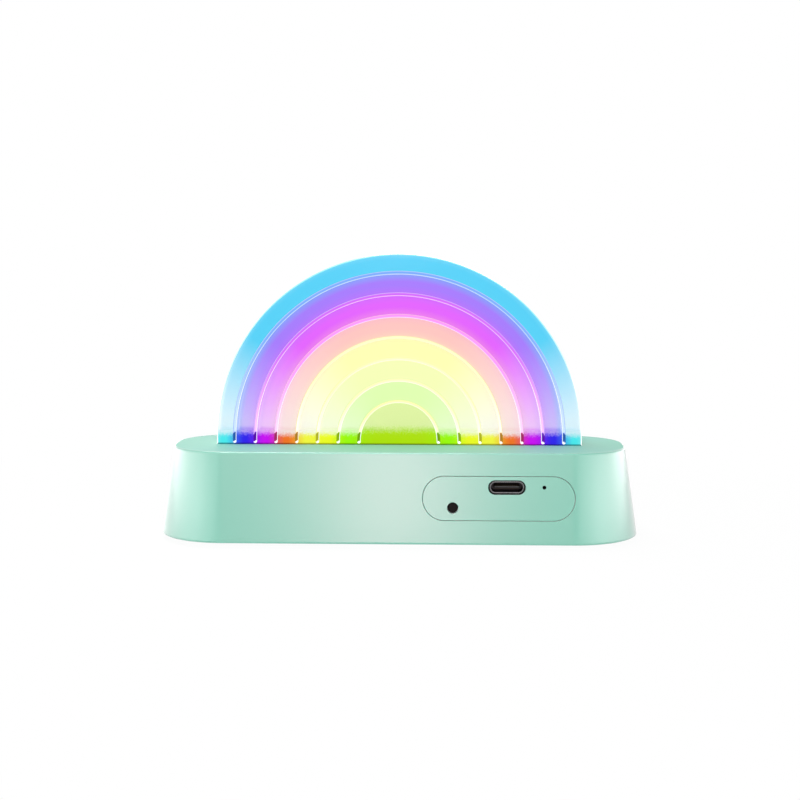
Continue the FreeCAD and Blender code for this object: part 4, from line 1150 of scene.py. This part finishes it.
class LAMP_OT_port_panel(bpy.types.Operator):
    """Model and finish the oval panel with the port, button and sound holes"""
    bl_idname = "rainbow_lamp.port_panel"
    bl_label = "Port panel"

    def execute(self, context):
        shape, mint = context.scene.lamp_shape, bpy.data.materials["satin_mint_abs"]
        panel = dress(port_panel(shape), "lamp", "port_panel", "mint_abs", mint,
                      plain_finish("rubber_and_bore_shade"))
        # The walls of the sound hole and of the gap round the port take the black rubber: painted shade of
        # their depth
        for face in panel.data.polygons:
            away = math.hypot(face.center.x - MIC_CENTRE.x, face.center.z - MIC_CENTRE.z)
            at_port = (abs(face.center.x - PORT_CENTRE.x) < SHADE_BORE_X
                       and abs(face.center.z - PORT_CENTRE.z) < SHADE_BORE_Z)
            face.material_index = int((away < shape.sound_radius or at_port) and abs(face.normal.y) < 0.5)
        return {"FINISHED"}


class LAMP_OT_rainbow_arch(bpy.types.Operator):
    """Model and finish the slotted, lit plate"""
    bl_idname = "rainbow_lamp.rainbow_arch"
    bl_label = "Rainbow plate"

    def execute(self, context):
        shape, finish = context.scene.lamp_shape, context.scene.lamp_finish
        plate = rainbow_arch(shape)
        crown = crown_colours(finish)
        slot = beside_slots(crown)
        dress(plate, "lamp", "rainbow_plate", "clear_acrylic", lit_acrylic(shape, finish),
              cut_acrylic(shape, finish),
              polished_rim(shape, finish, "polished_inner_rim", slot, 0.5, INNER_HAZE, finish.rim_glow_and_highlight),
              polished_rim(shape, finish, "polished_outer_rim", slot, 0.5, OUTER_HAZE, finish.glow),
              polished_rim(shape, finish, "polished_plate_edge", crown, 0.0, EDGE_HAZE, finish.rim_glow_and_highlight))
        sort_plate_faces(plate, shape)
        return {"FINISHED"}


class LAMP_OT_button_cap(bpy.types.Operator):
    """Model and finish the push button"""
    bl_idname = "rainbow_lamp.button_cap"
    bl_label = "Push button"

    def execute(self, context):
        scene = context.scene
        dress(button_cap(scene.lamp_shape), "button", "push_button", "button_plastic",
              moulded_acetal(scene.lamp_finish))
        return {"FINISHED"}


class LAMP_OT_charging_port(bpy.types.Operator):
    """Model and finish the charging port's shell and core"""
    bl_idname = "rainbow_lamp.charging_port"
    bl_label = "Charging port"

    def execute(self, context):
        shape = context.scene.lamp_shape
        shell = dress(port_shell(shape), "lamp", "usb_shell", "port_steel", plain_finish("shade_darkened_steel"),
                      plain_finish("rolled_lip"))
        # The faces at the port's mouth take the lighter copy of the steel, painted light; the rest keeps the
        # painted shade
        lip = PORT_LOW.y + shape.port_wall / 2
        for face in shell.data.polygons:
            face.material_index = int(face.center.y < lip and face.normal.y < -0.1)
        dress(port_core(shape), "lamp", "usb_tongue", "black_nylon", plain_finish("glass_filled_nylon"))
        return {"FINISHED"}


class LAMP_OT_underside(bpy.types.Operator):
    """Model and finish the closing plate, its screws and the soft feet"""
    bl_idname = "rainbow_lamp.underside"
    bl_label = "Underside"

    def execute(self, context):
        mint = bpy.data.materials["satin_mint_abs"]
        dress(closing_plate(context.scene.lamp_shape), "lamp", "bottom_cover", "mint_abs", mint)
        dress(cover_screw_set(), "lamp", "cover_screws", "screw_steel", plain_finish("zinc_plate"))
        dress(soft_feet(), "lamp", "foot_pads", "foot_silicone", plain_finish("moulded_silicone"))
        return {"FINISHED"}


# The pieces inside the base that keep their construction shape, with their finishes
INNER_FINISHES = {
    "light_frame": "natural_abs",
    "leds": "lamp_resin",
    "frame_screws": "zinc_plate",
    "board_screws": "zinc_plate",
    "usb_contacts": "gilt",
    "switch_body": "glass_filled_nylon",
    "switch_cover": "shade_darkened_steel",
    "switch_dome": "shade_darkened_steel",
    "microphone": "drawn_aluminium",
    "mic_boot": "rubber_and_bore_shade",
    "controller_chip": "filled_epoxy",
    "charger_chip": "filled_epoxy",
    "board_capacitors": "fired_ceramic",
    "battery_socket": "ivory_nylon",
    "battery_plug": "ivory_nylon",
    "battery_lead_red": "red_vinyl",
    "battery_lead_black": "black_vinyl",
    "led_socket": "ivory_nylon",
    "led_plug": "ivory_nylon",
    "led_wires": "white_vinyl",
    "battery": "laminate_film",
    "battery_tape": "closed_cell_foam",
}


class LAMP_OT_inner_pieces(bpy.types.Operator):
    """Finish the pieces inside the base, whose construction shape stays"""
    bl_idname = "rainbow_lamp.inner_pieces"
    bl_label = "Inner pieces"

    def execute(self, context):
        for name, finish in INNER_FINISHES.items():
            wear(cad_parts[name], plain_finish(finish))
        wear(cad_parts["led_board"], board_laminate("white_board", "#DDDFDB", "#F0F1EE"))
        wear(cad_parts["main_board"], board_laminate("green_board", "#0C4A26", "#1B6B3A"))
        return {"FINISHED"}


def seen_as_white(tree):
    """A node that is one on the rays of the camera, gloss and glass, which see plain white."""
    path = add_node(tree, "LightPath")
    seen = path.outputs["Is Camera Ray"]
    for name in ("Is Glossy Ray", "Is Transmission Ray"):
        seen = add_node(tree, "Math", {0: seen, 1: path.outputs[name]}, operation="MAXIMUM")
    return seen


# How white the floor is to the light that it throws back at the lamp
FLOOR_GLOW = 0.65
FLOOR_STEPS, FLOOR_RADIUS = 96, 4.0
# The camera's sensor in millimetres, and where its view starts
SENSOR_WIDTH = 36.0
CLIP_START = 10 * MM


def white_paper():
    """A white paper sweep: to the camera it is the white of the background, and it keeps a soft shadow."""
    material, tree = new_material("white_paper")
    seen = seen_as_white(tree)
    place = add_node(tree, "TexCoord")
    away = add_node(tree, "VectorMath", {0: place.outputs["Object"]}, operation="LENGTH")
    white_share = add_node(tree, "MapRange", {
        "Value": away, "From Min": 0.07, "From Max": 0.2, "To Min": 0.965, "To Max": 1.0},
        interpolation_type="SMOOTHSTEP")
    shown = add_node(tree, "Math", {0: seen, 1: FLOOR_GLOW}, operation="MAXIMUM")
    share = add_node(tree, "Math", {0: shown, 1: white_share}, operation="MULTIPLY")
    paper = add_node(tree, "BsdfDiffuse", {"Color": (0.9, 0.9, 0.9, 1.0)})
    white = add_node(tree, "Emission", {"Color": (1, 1, 1, 1), "Strength": 1.0})
    both = add_node(tree, "MixShader", {0: share, 1: paper, 2: white})
    add_node(tree, "OutputMaterial", {"Surface": both})
    return material


def white_room(ambient):
    """Light from all round, which the camera, gloss and glass see as plain white."""
    world = bpy.data.worlds.new("white_room")
    world.use_nodes = True
    tree = world.node_tree
    tree.nodes.clear()
    seen = seen_as_white(tree)
    strength = add_node(tree, "MapRange", {"Value": seen, "To Min": ambient, "To Max": 1.0})
    light = add_node(tree, "Background", {"Color": (1, 1, 1, 1), "Strength": strength})
    add_node(tree, "OutputWorld", {"Surface": light})
    return world


# Soft boxes: name, place and aim in metres, width and height, watts and colour
SOFT_BOXES = (
    ("overhead", (-0.12, -0.06, 0.58), (0.0, 0.0, 0.03), 0.7, 0.15, 3.4, "#FFFFFF"),
    ("back_left", (-0.15, 0.9, 0.12), (-0.04, 0.0, 0.025), 0.5, 0.15, 1.2, "#FFFFFF"),
    ("back_right", (0.9, 0.35, 0.05), (0.05, 0.0, 0.015), 0.5, 0.1, 1.0, "#FFFFFF"),
    ("front", (0.0, -1.4, 0.6), (0.0, 0.0, 0.03), 1.2, 0.5, 5.8, "#FFFFFF"),
    ("front_strip", (-0.048, -1.2, 0.17), (0.0, 0.0, 0.013), 0.10, 0.20, 1.05, "#FFC4D3"),
)
# Boxes in an arc round both ends, for the gloss alone: degrees from the front, centre, reach and size
SIDE_ARC = range(20, 170, 10)
SIDE_CENTRE = 0.046
SIDE_REACH = 0.45
SIDE_WIDTH, SIDE_HEIGHT = 0.08, 0.06
# Their height and its fall with each degree, their brightness and its growth, and the most of it
SIDE_RISE, SIDE_FALL = 0.075, 0.00044
SIDE_START, SIDE_GROWTH, SIDE_PEAK = 0.4, 0.1, 5.6
# The left and the right end, each with its share of that brightness
SIDE_SHARES = (-1, 0.95), (1, 1.1)


def soft_boxes():
    """Every soft box of the stage, with the arcs of boxes round both ends."""
    boxes = list(SOFT_BOXES)
    for sign, share in SIDE_SHARES:
        for degrees in SIDE_ARC:
            turn = math.radians(degrees)
            z = max(SIDE_RISE - SIDE_FALL * degrees, SIDE_HEIGHT / 2)
            place = (sign * (SIDE_CENTRE + SIDE_REACH * math.sin(turn)), -SIDE_REACH * math.cos(turn), z)
            brightness = share * min(SIDE_START + SIDE_GROWTH * degrees, SIDE_PEAK)
            watts = brightness * math.pi * SIDE_WIDTH * SIDE_HEIGHT
            aim = (sign * SIDE_CENTRE, 0.0, z)
            boxes.append(("side", place, aim, SIDE_WIDTH, SIDE_HEIGHT, watts, "#FFFFFF"))
    return boxes


class LAMP_OT_stage(bpy.types.Operator):
    """Set up the floor, the lights and the camera"""
    bl_idname = "rainbow_lamp.stage"
    bl_label = "Stage"

    def execute(self, context):
        scene, stage = context.scene, context.scene.lamp_stage
        deselect_all()
        bpy.ops.mesh.primitive_circle_add(vertices=FLOOR_STEPS, radius=FLOOR_RADIUS, fill_type="NGON",
                                          location=(0, 0, 0))
        floor = settle("floor")
        floor.data.materials.append(white_paper())
        for name, place, aim, width, height, watts, colour in soft_boxes():
            turn = (Vector(aim) - Vector(place)).to_track_quat("-Z", "Y").to_euler()
            deselect_all()
            bpy.ops.object.light_add(type="AREA", location=place, rotation=turn)
            lamp = context.active_object
            lamp.name = name
            lamp.data.shape = "RECTANGLE"
            lamp.data.size = width
            lamp.data.size_y = height
            lamp.data.energy = watts
            lamp.data.color = linear(colour)
            lamp.visible_camera = False
            lamp.visible_diffuse = name != "side"
            lamp.visible_glossy = name != "back_right"
        back = Vector((math.sin(stage.azimuth) * math.cos(stage.elevation),
                       -math.cos(stage.azimuth) * math.cos(stage.elevation), math.sin(stage.elevation)))
        deselect_all()
        bpy.ops.object.camera_add(location=Vector(stage.aim) + back * stage.distance,
                                  rotation=(-back).to_track_quat("-Z", "Y").to_euler())
        camera = context.active_object
        camera.data.lens = stage.lens
        camera.data.sensor_width = SENSOR_WIDTH
        camera.data.clip_start = CLIP_START
        scene.camera = camera
        scene.world = white_room(stage.ambient)
        scene.view_settings.view_transform = "Standard"
        return {"FINISHED"}


class LAMP_PT_panel(bpy.types.Panel):
    """The lamp's pieces and settings in the sidebar"""
    bl_idname = "LAMP_PT_panel"
    bl_label = "Rainbow lamp"
    bl_space_type = "VIEW_3D"
    bl_region_type = "UI"
    bl_category = "Lamp"

    def draw(self, context):
        for piece in PIECES:
            self.layout.operator(piece.bl_idname)
        for settings in (context.scene.lamp_shape, context.scene.lamp_finish, context.scene.lamp_stage):
            column = self.layout.column()
            for name in settings.__annotations__:
                column.prop(settings, name)


PIECES = (
    LAMP_OT_base_shell,
    LAMP_OT_port_panel,
    LAMP_OT_rainbow_arch,
    LAMP_OT_button_cap,
    LAMP_OT_charging_port,
    LAMP_OT_underside,
    LAMP_OT_inner_pieces,
    LAMP_OT_stage,
)
CLASSES = (LampShape, LampBand, LampFinish, LampStage, *PIECES, LAMP_PT_panel)


def register():
    """Register the classes and hang the settings on the scene."""
    for kind in CLASSES:
        bpy.utils.register_class(kind)
    bpy.types.Scene.lamp_shape = bpy.props.PointerProperty(type=LampShape)
    bpy.types.Scene.lamp_finish = bpy.props.PointerProperty(type=LampFinish)
    bpy.types.Scene.lamp_stage = bpy.props.PointerProperty(type=LampStage)


def unregister():
    """Take the settings and the classes away again."""
    del bpy.types.Scene.lamp_stage
    del bpy.types.Scene.lamp_finish
    del bpy.types.Scene.lamp_shape
    for kind in reversed(CLASSES):
        bpy.utils.unregister_class(kind)


def fill_bands(finish):
    """Set the bands' light to its defaults."""
    finish.bands.clear()
    for light, leak, crown_haze, side_haze, haze_top, outer_bleed, inner_bleed, reach in BANDS:
        band = finish.bands.add()
        band.light = linear(light)
        band.leak = leak
        band.crown_haze = crown_haze
        band.side_haze = side_haze
        band.haze_top = haze_top
        band.outer_bleed = outer_bleed
        band.inner_bleed = inner_bleed
        band.reach = reach * MM


def main():
    """Build the lamp piece by piece."""
    register()
    fill_bands(bpy.context.scene.lamp_finish)
    bpy.ops.rainbow_lamp.base_shell()
    bpy.ops.rainbow_lamp.port_panel()
    bpy.ops.rainbow_lamp.rainbow_arch()
    bpy.ops.rainbow_lamp.button_cap()
    bpy.ops.rainbow_lamp.charging_port()
    bpy.ops.rainbow_lamp.underside()
    bpy.ops.rainbow_lamp.inner_pieces()
    bpy.ops.rainbow_lamp.stage()
    deselect_all()


if __name__ == "__main__":
    main()
